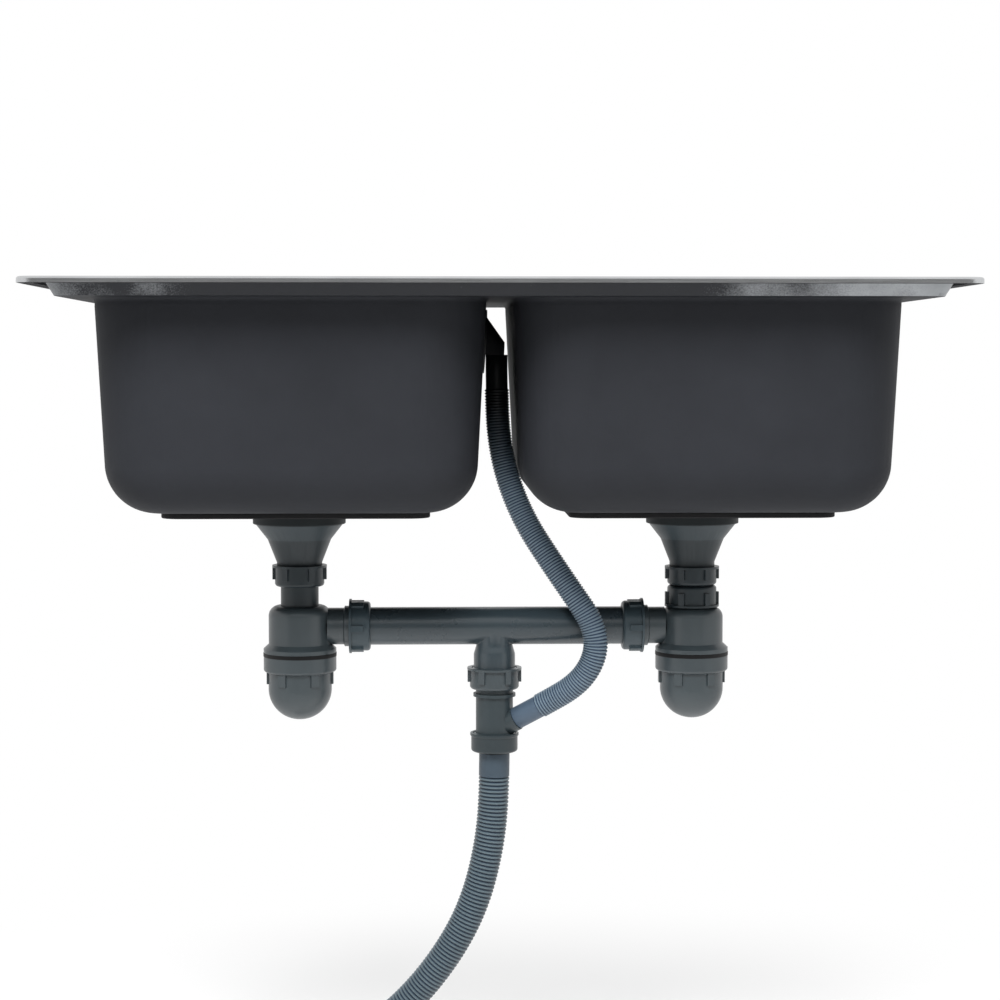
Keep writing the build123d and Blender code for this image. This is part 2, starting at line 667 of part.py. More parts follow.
# ======== cross pipe with its moulded tee ========
tee_down = upright(TEE_X, 0, up=True)
pipe_line = Plane(origin=(0, 0, PIPE_Z), x_dir=(0, 1, 0), z_dir=(1, 0, 0))
pipe_reach = DRAIN_X - PIPE_END
with BuildPart() as cross_pipe:
    ring(pipe_line, 0, PIPE_R, -pipe_reach, pipe_reach)
    turn(tee_down, [
        (0, PIPE_Z),
        (TEE_BRANCH_R, PIPE_Z),
        (TEE_BRANCH_R, PIPE_Z - PIPE_R + 1),
        (TEE_COLLAR_R, TEE_COLLAR_TOP),
        (TEE_COLLAR_R, TEE_NUT_TOP),
        (NECK_R, TEE_NUT_TOP - 1),
        (NECK_R, TEE_END),
        (0, TEE_END),
    ])
    ring(pipe_line, 0, PIPE_BORE_R, -pipe_reach - 1, pipe_reach + 1, Mode.SUBTRACT)
    turn(tee_down, [
        (0, PIPE_Z),
        (TEE_BORE_R, PIPE_Z),
        (TEE_BORE_R, HOSE_TEE_TOP + 1),
        (PIPE_R + CLEAR, HOSE_TEE_TOP + 1),
        (PIPE_R + CLEAR, TEE_END - 1),
        (0, TEE_END - 1),
    ], Mode.SUBTRACT)
save(cross_pipe, "cross_pipe")

# ======== hose tee, its nut and seal ========
port = Plane(origin=(TEE_X, 0, PORT_Z), x_dir=(0, 1, 0), z_dir=PORT_DIRECTION)
with BuildPart() as hose_tee:
    turn(tee_down, [
        (0, HOSE_TEE_TOP),
        (HOSE_TEE_R, HOSE_TEE_TOP),
        (HOSE_TEE_R, HOSE_TEE_RING_TOP),
        (HOSE_TEE_RING_R, HOSE_TEE_RING_TOP),
        (HOSE_TEE_RING_R, HOSE_TEE_RING_TOP - HOSE_TEE_RING_T),
        (HOSE_TEE_R, HOSE_TEE_RING_TOP - HOSE_TEE_RING_T),
        (HOSE_TEE_R, HOSE_NUT_TOP),
        (HOSE_THREAD_R, HOSE_NUT_TOP - 1),
        (HOSE_THREAD_R, HOSE_TEE_END),
        (0, HOSE_TEE_END),
    ])
    ring(port, 0, PORT_R, 0, PORT_LENGTH)
    ring(port, 0, SPIGOT_R, 0, PORT_LENGTH + SPIGOT_LENGTH)
    turn(tee_down, [
        (0, HOSE_TEE_TOP + 1),
        (HOSE_TEE_BORE_R, HOSE_TEE_TOP + 1),
        (HOSE_TEE_BORE_R, HOSE_SEAT),
        (DRAIN_HOSE_R + CLEAR, HOSE_SEAT),
        (DRAIN_HOSE_R + CLEAR, HOSE_TEE_END - 1),
        (0, HOSE_TEE_END - 1),
    ], Mode.SUBTRACT)
    ring(port, 0, PORT_BORE_R, 0, PORT_LENGTH + SPIGOT_LENGTH + 1, Mode.SUBTRACT)
save(hose_tee, "hose_tee")

seal_under = HOSE_TEE_END - 2.7
with BuildPart() as hose_seal:
    turn(tee_down, [
        (DRAIN_HOSE_R + 0.1, HOSE_TEE_END),
        (HOSE_THREAD_R - 0.2, HOSE_TEE_END),
        (HOSE_THREAD_R - 0.2, seal_under),
        (DRAIN_HOSE_R + 1, seal_under),
        (DRAIN_HOSE_R + 1, HOSE_NUT_BOTTOM - 1.5),
        (DRAIN_HOSE_R + 0.1, HOSE_NUT_BOTTOM - 1.5),
    ])
save(hose_seal, "hose_seal")

with BuildPart() as hose_nut:
    turn(tee_down, [
        (HOSE_THREAD_R + CLEAR, HOSE_NUT_TOP),
        (HOSE_NUT_LIP_R, HOSE_NUT_TOP),
        (HOSE_NUT_LIP_R, HOSE_NUT_TOP - 2.8),
        (HOSE_NUT_R, HOSE_NUT_TOP - 3.4),
        (HOSE_NUT_R, HOSE_NUT_BOTTOM, 3.0),
        (DRAIN_HOSE_R + 1.1, HOSE_NUT_BOTTOM),
        (DRAIN_HOSE_R + 1.1, seal_under),
        (HOSE_THREAD_R + CLEAR, seal_under),
    ])
save(hose_nut, "hose_nut")

# ======== overflow: inside plate, screw, gasket and elbow ========
with BuildPart() as overflow_gasket:
    ring(overflow_wall, OVERFLOW_HOLE_R + 1, OVERFLOW_GASKET_R, 0, OVERFLOW_GASKET_T)
save(overflow_gasket, "overflow_gasket")

flange_start = OVERFLOW_GASKET_T
foot = overflow_wall.offset(flange_start + ELBOW_FLANGE_T)
nose = Plane(origin=(ELBOW_NOSE_X, 0, ELBOW_NOSE_Z), x_dir=(0, 1, 0), z_dir=overflow_wall.z_dir)
elbow_exit = upright(ELBOW_EXIT_X, 0, up=True)
with BuildPart() as overflow_elbow:
    with BuildSketch(foot) as housing_foot:
        Circle(ELBOW_HOUSING_R)
    with BuildSketch(nose) as housing_nose:
        Circle(ELBOW_NOSE_R)
    loft([housing_foot.sketch, housing_nose.sketch])
    # flat underside, square to the hose, from the flange to past the nose
    housing_low = OVERFLOW_Z - ELBOW_HOUSING_R - 1
    past_nose = ELBOW_NOSE_X + ELBOW_NOSE_R
    foot_x = [
        foot.origin.X + (level - foot.origin.Z) * math.tan(wall_lean)
        for level in (ELBOW_UNDER, housing_low)
    ]
    with BuildSketch(Plane.XZ) as below:
        with BuildLine():
            Polyline(
                (foot_x[0], ELBOW_UNDER), (past_nose, ELBOW_UNDER), (past_nose, housing_low),
                (foot_x[1], housing_low), close=True,
            )
        make_face()
    extrude(below.sketch, amount=ELBOW_HOUSING_R + 1, both=True, mode=Mode.SUBTRACT)
    ring(overflow_wall, 0, ELBOW_FLANGE_R, flange_start, flange_start + ELBOW_FLANGE_T)
    ring(overflow_wall, 0, ELBOW_CHAMBER_R, 0, ELBOW_CHAMBER, Mode.SUBTRACT)
    ring(elbow_exit, 0, SPIGOT_R, ELBOW_UNDER - SPIGOT_LENGTH, ELBOW_UNDER)
    ring(elbow_exit, 0, PORT_BORE_R, ELBOW_UNDER - SPIGOT_LENGTH, ELBOW_BORE_TOP, Mode.SUBTRACT)
    # boss for the faceplate's screw
    ring(overflow_wall, 0, ELBOW_BOSS_R, flange_start - 1, ELBOW_BOSS)
    ring(overflow_wall, 0, SCREW_R - 1, 0, ELBOW_CHAMBER, Mode.SUBTRACT)
save(overflow_elbow, "overflow_elbow")

inside_wall = Plane(
    origin=overflow_wall.origin - overflow_wall.z_dir * SHEET,
    x_dir=(0, 1, 0),
    z_dir=-overflow_wall.z_dir,
)
with BuildPart() as overflow_faceplate:
    turn(inside_wall, [
        (2.3, FACEPLATE_HEIGHT),
        (FACEPLATE_R - 6, FACEPLATE_HEIGHT, 3.0),
        (FACEPLATE_R, 0),
        (FACEPLATE_R - 2, 0),
        (FACEPLATE_R - 7.2, FACEPLATE_HEIGHT - FACEPLATE_T),
        (2.3, FACEPLATE_HEIGHT - FACEPLATE_T),
    ])
    with BuildSketch(inside_wall):
        with PolarLocations(14, FACEPLATE_SLOTS):
            SlotOverall(13, 5)
    extrude(amount=FACEPLATE_HEIGHT + 1, mode=Mode.SUBTRACT)
save(overflow_faceplate, "overflow_faceplate")

with BuildPart() as overflow_screw:
    turn(inside_wall, [
        (0, -12),
        (1.8, -12),
        (1.8, FACEPLATE_HEIGHT),
        (4.6, FACEPLATE_HEIGHT),
        (3.2, FACEPLATE_HEIGHT + 2.2),
        (0, FACEPLATE_HEIGHT + 2.2),
    ])
save(overflow_screw, "overflow_screw")


# ======== ribbed hoses ========
def arc_radii(route):
    """The radius at each corner: as large as its two runs allow."""
    radii = []
    for before, corner, after in zip(route, route[1:], route[2:]):
        run_in = Vector(corner) - Vector(before)
        run_out = Vector(after) - Vector(corner)
        shorter = min(run_in.length, run_out.length)
        half_turn = math.radians(run_in.get_angle(run_out)) / 2
        radii.append(ARC_SHARE * shorter / math.tan(half_turn))
    return radii


def stations(length, top_cuff, end_cuff, top_r, valley_r, crest_r, end_r, pitch):
    """The circles of a ribbed hose: (distance along it, radius), cuffs at both ends."""
    circles = [(0, top_r), (top_cuff - 1, top_r)]
    ribbed = length - top_cuff - end_cuff
    count = round(ribbed / pitch)
    step = ribbed / count
    for rib in range(count):
        for share, on_crest in RIB_SHAPE:
            circles.append((top_cuff + (rib + share) * step, crest_r if on_crest else valley_r))
    circles += [(length - end_cuff, valley_r), (length - end_cuff + 1, end_r), (length, end_r)]
    return circles, count


hoses = (
    ("overflow_hose", OVERFLOW_ROUTE, OVERFLOW_BORE_R, OVERFLOW_TOP_CUFF, OVERFLOW_END_CUFF,
     OVERFLOW_TOP_CUFF_R, OVERFLOW_VALLEY_R, OVERFLOW_HOSE_R, OVERFLOW_END_CUFF_R,
     OVERFLOW_RIB_PITCH),
    ("drain_hose", DRAIN_ROUTE, DRAIN_BORE_R, DRAIN_TOP_CUFF, DRAIN_END_CUFF,
     DRAIN_HOSE_R, DRAIN_VALLEY_R, DRAIN_HOSE_R, DRAIN_HOSE_R, DRAIN_RIB_PITCH),
)
for hose_name, route, bore_r, top_cuff, end_cuff, top_r, valley_r, crest_r, end_r, pitch in hoses:
    radii = arc_radii(route)
    with BuildPart() as hose:
        with BuildLine() as path:
            FilletPolyline(*route, radius=radii)
        line = path.wires()[0]
        circles, rib_count = stations(
            line.length, top_cuff, end_cuff, top_r, valley_r, crest_r, end_r, pitch
        )
        for distance, radius in circles:
            place = line.position_at(distance, PositionMode.LENGTH)
            along = line.tangent_at(distance, PositionMode.LENGTH)
            with BuildSketch(Plane(origin=place, x_dir=(0, 1, 0), z_dir=along)):
                Circle(radius)
        loft(ruled=True)
        outside = hose.part.volume
        start = Plane(origin=line @ 0, x_dir=(0, 1, 0), z_dir=line % 0)
        with BuildSketch(start) as bore:
            Circle(bore_r)
        sweep(bore.sketch, path=line, mode=Mode.SUBTRACT)
    save(hose, hose_name)
    bore_volume = math.pi * bore_r**2 * line.length
    print(hose_name, "length", round(line.length, 1), "ribs", rib_count,
          "radii", [round(radius) for radius in radii],
          "bore volume ratio", round((outside - hose.part.volume) / bore_volume, 4))

# ======== connector that fits a 50 mm waste socket ========
last_run = (Vector(DRAIN_ROUTE[-1]) - Vector(DRAIN_ROUTE[-2])).normalized()
hose_end = Plane(origin=DRAIN_ROUTE[-1], x_dir=(0, 1, 0), z_dir=last_run)
connector_flange = CONNECTOR_FLANGE_T
with BuildPart() as drain_hose_end:
    turn(hose_end, [
        (DRAIN_HOSE_R + CLEAR, -CONNECTOR_SLEEVE),
        (CONNECTOR_SLEEVE_R, -CONNECTOR_SLEEVE),
        (CONNECTOR_SLEEVE_R, 0),
        (CONNECTOR_FLANGE_R, 0),
        (CONNECTOR_FLANGE_R, connector_flange),
        (CONNECTOR_R, connector_flange),
        (CONNECTOR_R, connector_flange + CONNECTOR_LENGTH, 1.5),
        (CONNECTOR_R - 2.5, connector_flange + CONNECTOR_LENGTH),
        (CONNECTOR_R - 2.5, connector_flange + 2),
        (CONNECTOR_BORE_R, 2),
        (CONNECTOR_BORE_R, 0),
        (DRAIN_HOSE_R + CLEAR, 0),
    ])
save(drain_hose_end, "drain_hose_end")
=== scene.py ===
"""The looks of a double bowl kitchen sink with its wastes, bottle traps and ribbed hoses.

Everything is in metres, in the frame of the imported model: +X to the right, +Y to the back,
+Z up, with the origin at the centre of the plane where the rim rests on the worktop.
"""

import json
import math

import bmesh
import bpy
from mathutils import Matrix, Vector


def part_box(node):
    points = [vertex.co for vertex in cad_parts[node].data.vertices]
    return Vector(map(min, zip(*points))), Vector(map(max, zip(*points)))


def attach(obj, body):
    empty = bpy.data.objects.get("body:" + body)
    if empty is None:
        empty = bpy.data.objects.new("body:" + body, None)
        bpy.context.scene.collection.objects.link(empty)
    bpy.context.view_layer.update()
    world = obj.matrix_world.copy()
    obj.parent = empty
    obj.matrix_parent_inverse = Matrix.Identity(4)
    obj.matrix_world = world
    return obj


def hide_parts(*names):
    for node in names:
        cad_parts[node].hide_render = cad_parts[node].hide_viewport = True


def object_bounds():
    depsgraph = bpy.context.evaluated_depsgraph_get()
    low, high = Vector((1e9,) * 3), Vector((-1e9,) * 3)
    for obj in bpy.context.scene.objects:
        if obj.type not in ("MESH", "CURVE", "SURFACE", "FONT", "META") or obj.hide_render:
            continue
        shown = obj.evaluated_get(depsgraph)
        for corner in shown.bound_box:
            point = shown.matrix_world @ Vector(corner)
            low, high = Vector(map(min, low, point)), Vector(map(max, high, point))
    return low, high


bl_info = {
    "name": "Double Bowl Sink",
    "version": (1, 0, 0),
    "blender": (4, 5, 0),
    "location": "3D View > Sidebar > Sink",
    "description": "Dresses a double bowl kitchen sink with its waste plumbing",
    "category": "Object",
}

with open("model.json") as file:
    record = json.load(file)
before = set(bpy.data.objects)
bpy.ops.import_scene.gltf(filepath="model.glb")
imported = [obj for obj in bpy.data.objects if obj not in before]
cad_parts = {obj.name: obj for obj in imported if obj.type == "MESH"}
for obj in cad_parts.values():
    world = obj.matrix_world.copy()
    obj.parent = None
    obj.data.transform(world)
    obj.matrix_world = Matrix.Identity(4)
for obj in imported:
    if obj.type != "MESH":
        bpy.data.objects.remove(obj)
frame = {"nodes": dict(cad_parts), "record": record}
CAD_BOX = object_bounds()
BODY_OF = {
    node: body for body, nodes in frame["record"]["behaviour"]["bodies"].items() for node in nodes
}
SIDES = (("left", -1), ("right", 1))

MM = 0.001
BOWL_X = 207.8 * MM
DRAIN_X = 208.5 * MM
DECK_UNDER = -11.4 * MM
FUNNEL_WAIST = -261.0 * MM  # painted shade: the waste bodies are darker below this height, their flare above it painted lighter
TRAP_TOP = -333.0 * MM  # and the traps lighter below this one, below the painted shade under the bowls
SEAL_MIDDLE = 36.5 * MM  # half-way through the cup seal's ring
SEAL_BULGE = 1.0 * MM
SEAL_SWELL = 1.7  # how much thicker the squeezed ring looks
MERGE_DISTANCE = 0.002 * MM
FLAT_ANGLE = math.radians(0.4)  # faces that differ by less are taken for one plane
EDGE_MARGIN = 5.0  # degrees by which a rounded edge is sharper than a smooth one

# Routes of the two hoses: control points, in metres.
OVERFLOW_ROUTE = [
    (0.0003, 0.0, -0.0668),
    (0.0003, 0.0, -0.112),
    (0.0029, -0.0013, -0.157),
    (0.0122, -0.0066, -0.2),
    (0.0302, -0.015, -0.243),
    (0.0568, -0.0275, -0.284),
    (0.0788, -0.036, -0.316),
    (0.0976, -0.04, -0.3434),
    (0.1043, -0.0415, -0.3681),
    (0.099, -0.0395, -0.3916),
    (0.083, -0.033, -0.4138),
    (0.05234, -0.01978, -0.4342),
    (0.02106, -0.00839, -0.45251),
]
DRAIN_ROUTE = [
    (-0.002, 0.0, -0.478),
    (-0.002, 0.0, -0.538),
    (-0.0085, 0.0, -0.597),
    (-0.0235, 0.001, -0.654),
    (-0.048, 0.004, -0.703),
    (-0.084, 0.009, -0.752),
    (-0.128, 0.016, -0.794),
    (-0.178, 0.026, -0.824),
    (-0.236, 0.038, -0.829),
]


# ======== sizes and colours that a user would change ========
class SinkFinish(bpy.types.PropertyGroup):
    undercoat: bpy.props.FloatVectorProperty(
        name="Undercoat", description="Sprayed coat on the outside of the bowls",
        subtype="COLOR", size=3, min=0, max=1, default=(0.0228, 0.0243, 0.0286),
    )
    plastic: bpy.props.FloatVectorProperty(
        name="Plastic", description="Moulded traps, wastes and nuts",
        subtype="COLOR", size=3, min=0, max=1, default=(0.040, 0.052, 0.058),
    )
    pipe: bpy.props.FloatVectorProperty(
        name="Pipe", description="Cross pipe between the traps",
        subtype="COLOR", size=3, min=0, max=1, default=(0.0297, 0.0425, 0.0505),
    )
    # lighter than the drain hose's colour, partly painted light against the bowls' shadow over
    # the overflow hose
    overflow_hose: bpy.props.FloatVectorProperty(
        name="Overflow Hose", description="Ribbed hose of the overflow",
        subtype="COLOR", size=3, min=0, max=1, default=(0.135, 0.182, 0.223),
    )
    drain_hose: bpy.props.FloatVectorProperty(
        name="Drain Hose", description="Ribbed hose to the drain",
        subtype="COLOR", size=3, min=0, max=1, default=(0.091, 0.122, 0.139),
    )


class HoseSizes(bpy.types.PropertyGroup):
    overflow_pitch: bpy.props.FloatProperty(
        name="Overflow Rib Pitch", description="From one rib to the next on the overflow hose",
        subtype="DISTANCE", min=0.001, default=3.1 * MM,
    )
    drain_pitch: bpy.props.FloatProperty(
        name="Drain Rib Pitch", description="From one rib to the next on the drain hose",
        subtype="DISTANCE", min=0.001, default=4.1 * MM,
    )
    sides: bpy.props.IntProperty(
        name="Sides", description="Faces round a hose", min=12, default=40,
    )


class StageSettings(bpy.types.PropertyGroup):
    floor_gap: bpy.props.FloatProperty(
        name="Floor Gap", description="From the lowest point of the hose to the floor",
        subtype="DISTANCE", min=0, default=0.03,
    )
    sky: bpy.props.FloatProperty(
        name="Sky", description="Strength of the even light all round", min=0, default=0.14,
    )
    key: bpy.props.FloatProperty(
        name="Key", description="Power of the large lamp above the front", unit="POWER",
        min=0, default=190.0,
    )
    fill: bpy.props.FloatProperty(
        name="Fill", description="Power of the low lamp in front", unit="POWER", min=0,
        default=7.0,
    )


# ======== node helpers ========
def add_node(tree, kind, inputs=None, **attributes):
    """A new node. Its inputs, by name or number, are values or the sockets to link from."""
    node = tree.nodes.new(kind)
    for name, value in attributes.items():
        setattr(node, name, value)
    for socket, value in (inputs or {}).items():
        if isinstance(value, bpy.types.NodeSocket):
            tree.links.new(value, node.inputs[socket])
        else:
            node.inputs[socket].default_value = value
    return node


def add_math(tree, operation, *values):
    """The result of a calculation with plain numbers."""
    return add_node(
        tree, "ShaderNodeMath", dict(enumerate(values)), operation=operation
    ).outputs[0]


def add_vector_math(tree, operation, inputs, output="Vector"):
    """The result of a calculation with vectors."""
    return add_node(tree, "ShaderNodeVectorMath", inputs, operation=operation).outputs[output]


def add_range(tree, value, low, high, to_low=0.0, to_high=1.0):
    """The value, with low to high spread over to_low to to_high."""
    return add_node(tree, "ShaderNodeMapRange", {
        "Value": value, "From Min": low, "From Max": high, "To Min": to_low, "To Max": to_high,
    }).outputs["Result"]


def add_noise(tree, vector, scale, detail, roughness=0.5):
    """Noise between 0 and 1."""
    return add_node(tree, "ShaderNodeTexNoise", {
        "Vector": vector, "Scale": scale, "Detail": detail, "Roughness": roughness,
    }).outputs["Fac"]


def add_mix(tree, factor, first, second):
    """A colour between two others."""
    return add_node(
        tree, "ShaderNodeMix", {"Factor": factor, 6: first, 7: second}, data_type="RGBA"
    ).outputs[2]


# ======== shader groups used by more than one material ========
def shader_group(name, inputs, outputs, fill):
    """The shader group with that name. On first use, fill(tree, given) makes its outputs."""
    if name in bpy.data.node_groups:
        return bpy.data.node_groups[name]
    tree = bpy.data.node_groups.new(name, "ShaderNodeTree")
    for label, kind, default in inputs:
        socket = tree.interface.new_socket(label, in_out="INPUT", socket_type=kind)
        if default is not None:
            socket.default_value = default
    for label, kind in outputs:
        tree.interface.new_socket(label, in_out="OUTPUT", socket_type=kind)
    given = tree.nodes.new("NodeGroupInput").outputs
    result = tree.nodes.new("NodeGroupOutput").inputs
    for label, socket in fill(tree, given).items():
        tree.links.new(socket, result[label])
    return tree


def uneven_tone(tree, given):
    cloud = add_noise(tree, given["Vector"], given["Scale"], 5.0, 0.6)
    mask = add_range(tree, cloud, 0.3, 0.7)
    centred = add_math(tree, "SUBTRACT", mask, 0.5)
    gain = add_math(tree, "MULTIPLY_ADD", centred, given["Amount"], 1.0)
    colour = add_vector_math(tree, "SCALE", {0: given["Color"], "Scale": gain})
    return {"Color": colour, "Mask": mask}


def tone_group():
    """Slow, cloudy lightening and darkening of one colour."""
    return shader_group(
        "uneven tone",
        [("Vector", "NodeSocketVector", None), ("Color", "NodeSocketColor", (0.5, 0.5, 0.5, 1)),
         ("Scale", "NodeSocketFloat", 20.0), ("Amount", "NodeSocketFloat", 0.2)],
        [("Color", "NodeSocketColor"), ("Mask", "NodeSocketFloat")],
        uneven_tone,
    )


def fine_grain(tree, given):
    coarse = add_noise(tree, given["Vector"], given["Scale"], 3.0)
    fine = add_node(
        tree, "ShaderNodeTexVoronoi", {"Vector": given["Vector"], "Scale": given["Scale"]},
        feature="SMOOTH_F1",
    )
    return {"Height": add_math(tree, "ADD", coarse, fine.outputs["Distance"])}


def grain_group():
    """Fine even texture of a sprayed coat or a mould's surface."""
    return shader_group(
        "fine grain",
        [("Vector", "NodeSocketVector", None), ("Scale", "NodeSocketFloat", 800.0)],
        [("Height", "NodeSocketFloat")],
        fine_grain,
    )


def brushed_lines(tree, given):
    stretched = add_vector_math(tree, "MULTIPLY", {0: given["Vector"], 1: given["Stretch"]})
    lines = add_noise(tree, stretched, 1.0, 3.0)
    return {"Height": lines, "Roughness": add_range(tree, lines, 0.3, 0.7, 0.24, 0.38)}


def brushing_group():
    """Short parallel lines of brushed sheet: stretched noise along the given direction."""
    return shader_group(
        "brushing",
        [("Vector", "NodeSocketVector", None),
         ("Stretch", "NodeSocketVector", (20.0, 1500.0, 1500.0))],
        [("Height", "NodeSocketFloat"), ("Roughness", "NodeSocketFloat")],
        brushed_lines,
    )


# ======== materials ========
class Surface:
    """A material being built: its node tree, its shader and its place on the piece."""

    def __init__(self, name):
        self.material = bpy.data.materials.new(name)
        self.material.use_nodes = True
        self.tree = self.material.node_tree
        self.shader = self.tree.nodes["Principled BSDF"]
        self.place = self.tree.nodes.new("ShaderNodeTexCoord").outputs["Object"]

    def group(self, tree, **values):
        """Places a shader group, with its Vector on the piece and its other inputs set."""
        return add_node(
            self.tree, "ShaderNodeGroup", {"Vector": self.place, **values}, node_tree=tree
        )

    def link(self, output, socket):
        self.tree.links.new(output, self.shader.inputs[socket])

    def uniform(self, **values):
        """Sets values that are the same all over on the shader's own sockets."""
        for label, value in values.items():
            self.shader.inputs[label.replace("_", " ")].default_value = value

    def roughness(self, mask, low, high):
        """Roughness that follows a mask between two values."""
        self.link(add_range(self.tree, mask, 0.0, 1.0, low, high), "Roughness")

    def bump(self, height, distance, strength):
        """Small relief from a height, its depth in metres."""
        bump = add_node(
            self.tree, "ShaderNodeBump",
            {"Height": height, "Distance": distance, "Strength": strength},
        )
        self.link(bump.outputs["Normal"], "Normal")


MATERIALS = {}
BRUSHED_COLOUR = (0.60, 0.61, 0.62, 1)
BARE_COLOUR = (0.36, 0.375, 0.39, 1)  # of steel under the overspray
SPRAY_AND_SHEEN_MIDDLE = -60 * MM  # where along X the overspray is thickest, set left of centre so that the painted sheen reaches further on the right
FULL_OVERSPRAY_WITHIN, PAINTED_SHEEN_BEYOND = 0.22, 0.50  # distances from there: full overspray within the first, bare steel with painted sheen beyond the second
TOP_SHADE_COLOUR = (0.007, 0.009, 0.010, 1)  # painted shade on the overflow hose's top, between the bowls
OVERFLOW_SHADE_FULL = -118 * MM  # painted shade: the overflow hose is fully dark above this height
OVERFLOW_SHADE_GONE = -212 * MM  # and free of the painted shade below this one
GROOVE_SHADE = (0.16, 0.22, 0.34)  # painted shade in the grooves, as shares of the hose's colour
BLUER = (0.86, 0.98, 1.04)  # tint of most small plastic pieces
NEUTRAL = (0.95, 1.01, 1.02)  # tint of the hose tee and its nut


def brushed_steel(name, stretch):
    """Satin stainless sheet, brushed along the direction with the smallest stretch."""
    steel = Surface(name)
    tone = steel.group(tone_group(), Color=BRUSHED_COLOUR, Scale=14.0, Amount=0.16)
    brushing = steel.group(brushing_group(), Stretch=stretch)
    steel.link(tone.outputs["Color"], "Base Color")
    steel.link(brushing.outputs["Roughness"], "Roughness")
    steel.bump(brushing.outputs["Height"], 0.01 * MM, 0.15)
    steel.uniform(Metallic=1.0, Anisotropic=0.35)
    return steel.material


def polished_steel():
    """Bright pressed steel of the strainers and the overflow plate."""
    steel = Surface("polished steel")
    tone = steel.group(tone_group(), Color=(0.66, 0.67, 0.68, 1), Scale=60.0, Amount=0.08)
    steel.link(tone.outputs["Color"], "Base Color")
    steel.roughness(tone.outputs["Mask"], 0.12, 0.22)
    steel.uniform(Metallic=1.0)
    return steel.material


def chrome():
    """Mirror-bright knob."""
    bright = Surface("chrome")
    tone = bright.group(tone_group(), Color=(0.8, 0.81, 0.83, 1), Scale=80.0, Amount=0.04)
    bright.link(tone.outputs["Color"], "Base Color")
    bright.roughness(tone.outputs["Mask"], 0.05, 0.10)
    bright.uniform(Metallic=1.0)
    return bright.material


def sprayed_steel_painted_sheen(colour):
    """Bare steel with a mottled overspray of the undercoat, and painted sheen: bare, lighter
    steel towards the ends of the sink, further on the right.
    """
    steel = Surface("oversprayed steel with painted sheen")
    tree = steel.tree
    tone = steel.group(tone_group(), Color=BARE_COLOUR, Scale=30.0, Amount=0.3)
    specks = add_noise(tree, steel.place, 620.0, 6.0, 0.7)
    drift = add_noise(tree, steel.place, 16.0, 4.0)
    apart = add_node(tree, "ShaderNodeSeparateXYZ", {"Vector": steel.place})
    # painted sheen: bare, lighter steel towards the ends, more so on the right; the specks and
    # drift are the overspray's own mottling
    beside = add_math(tree, "SUBTRACT", apart.outputs["X"], SPRAY_AND_SHEEN_MIDDLE)
    far = add_math(tree, "ABSOLUTE", beside)
    bare_and_sheen = add_range(tree, far, FULL_OVERSPRAY_WITHIN, PAINTED_SHEEN_BEYOND, -0.33, 0.34)
    speckled = add_math(tree, "MULTIPLY_ADD", specks, 0.6, bare_and_sheen)
    cloudy = add_math(tree, "MULTIPLY_ADD", drift, 0.8, speckled)
    mask = add_range(tree, cloudy, 0.50, 0.95)
    steel.link(add_mix(tree, mask, (*colour, 1), tone.outputs["Color"]), "Base Color")
    steel.link(add_math(tree, "MULTIPLY", mask, 0.9), "Metallic")
    steel.uniform(Roughness=0.46, Specular_IOR_Level=0.25)
    steel.bump(specks, 0.04 * MM, 0.6)
    return steel.material


def undercoat(colour):
    """Matt sprayed coat, slightly cloudy, with a fine orange-peel surface."""
    coat = Surface("undercoat")
    tone = coat.group(tone_group(), Color=(*colour, 1), Scale=9.0, Amount=0.22)
    grain = coat.group(grain_group(), Scale=900.0)
    coat.link(tone.outputs["Color"], "Base Color")
    coat.roughness(tone.outputs["Mask"], 0.58, 0.70)
    coat.bump(grain.outputs["Height"], 0.06 * MM, 0.5)
    coat.uniform(Specular_IOR_Level=0.14)
    return coat.material


def moulded_plastic(name, colour, low, high, gloss=0.42):
    """Satin injection-moulded plastic, its roughness between low and high."""
    plastic = Surface(name)
    tone = plastic.group(tone_group(), Color=(*colour, 1), Scale=22.0, Amount=0.16)
    grain = plastic.group(grain_group(), Scale=2600.0)
    plastic.link(tone.outputs["Color"], "Base Color")
    plastic.roughness(tone.outputs["Mask"], low, high)
    plastic.bump(grain.outputs["Height"], 0.015 * MM, 0.4)
    plastic.uniform(Specular_IOR_Level=gloss)
    return plastic.material


def hose_plastic(name, colour, shade_full_above, shade_gone_below):
    """Corrugated plastic, its grooves darker than its crests and its top darker than the rest,
    both painted shade.
    """
    hose = Surface(name)
    tree = hose.tree
    tone = hose.group(tone_group(), Color=(*colour, 1), Scale=30.0, Amount=0.18)
    groove = add_node(tree, "ShaderNodeAttribute", attribute_name="groove").outputs["Fac"]
    groove_shade_colour = (*[share * part for share, part in zip(GROOVE_SHADE, colour)], 1)
    # painted shade: points deep in a groove are darker than the crests
    shade = add_mix(tree, groove, tone.outputs["Color"], groove_shade_colour)
    # painted shade: the hose darkens towards its top, where it runs up between the bowls
    apart = add_node(tree, "ShaderNodeSeparateXYZ", {"Vector": hose.place})
    top_shade = add_range(tree, apart.outputs["Z"], shade_gone_below, shade_full_above)
    hose.link(add_mix(tree, top_shade, shade, TOP_SHADE_COLOUR), "Base Color")
    hose.roughness(tone.outputs["Mask"], 0.36, 0.48)
    hose.uniform(Specular_IOR_Level=0.35)
    return hose.material


def soft_black(name, level, grain_scale, depth, low, high, green=1.0):
    """Rubber, foam or damping sheet: black of that level, its grain of that scale and depth."""
    rubber = Surface(name)
    colour = (level, green * level, 1.1 * green * level, 1)
    tone = rubber.group(tone_group(), Color=colour, Scale=40.0, Amount=0.3)
    grain = rubber.group(grain_group(), Scale=grain_scale)
    rubber.link(tone.outputs["Color"], "Base Color")
    rubber.roughness(tone.outputs["Mask"], low, high)
    rubber.bump(grain.outputs["Height"], depth, 0.6)
    rubber.uniform(Specular_IOR_Level=0.3)
    return rubber.material


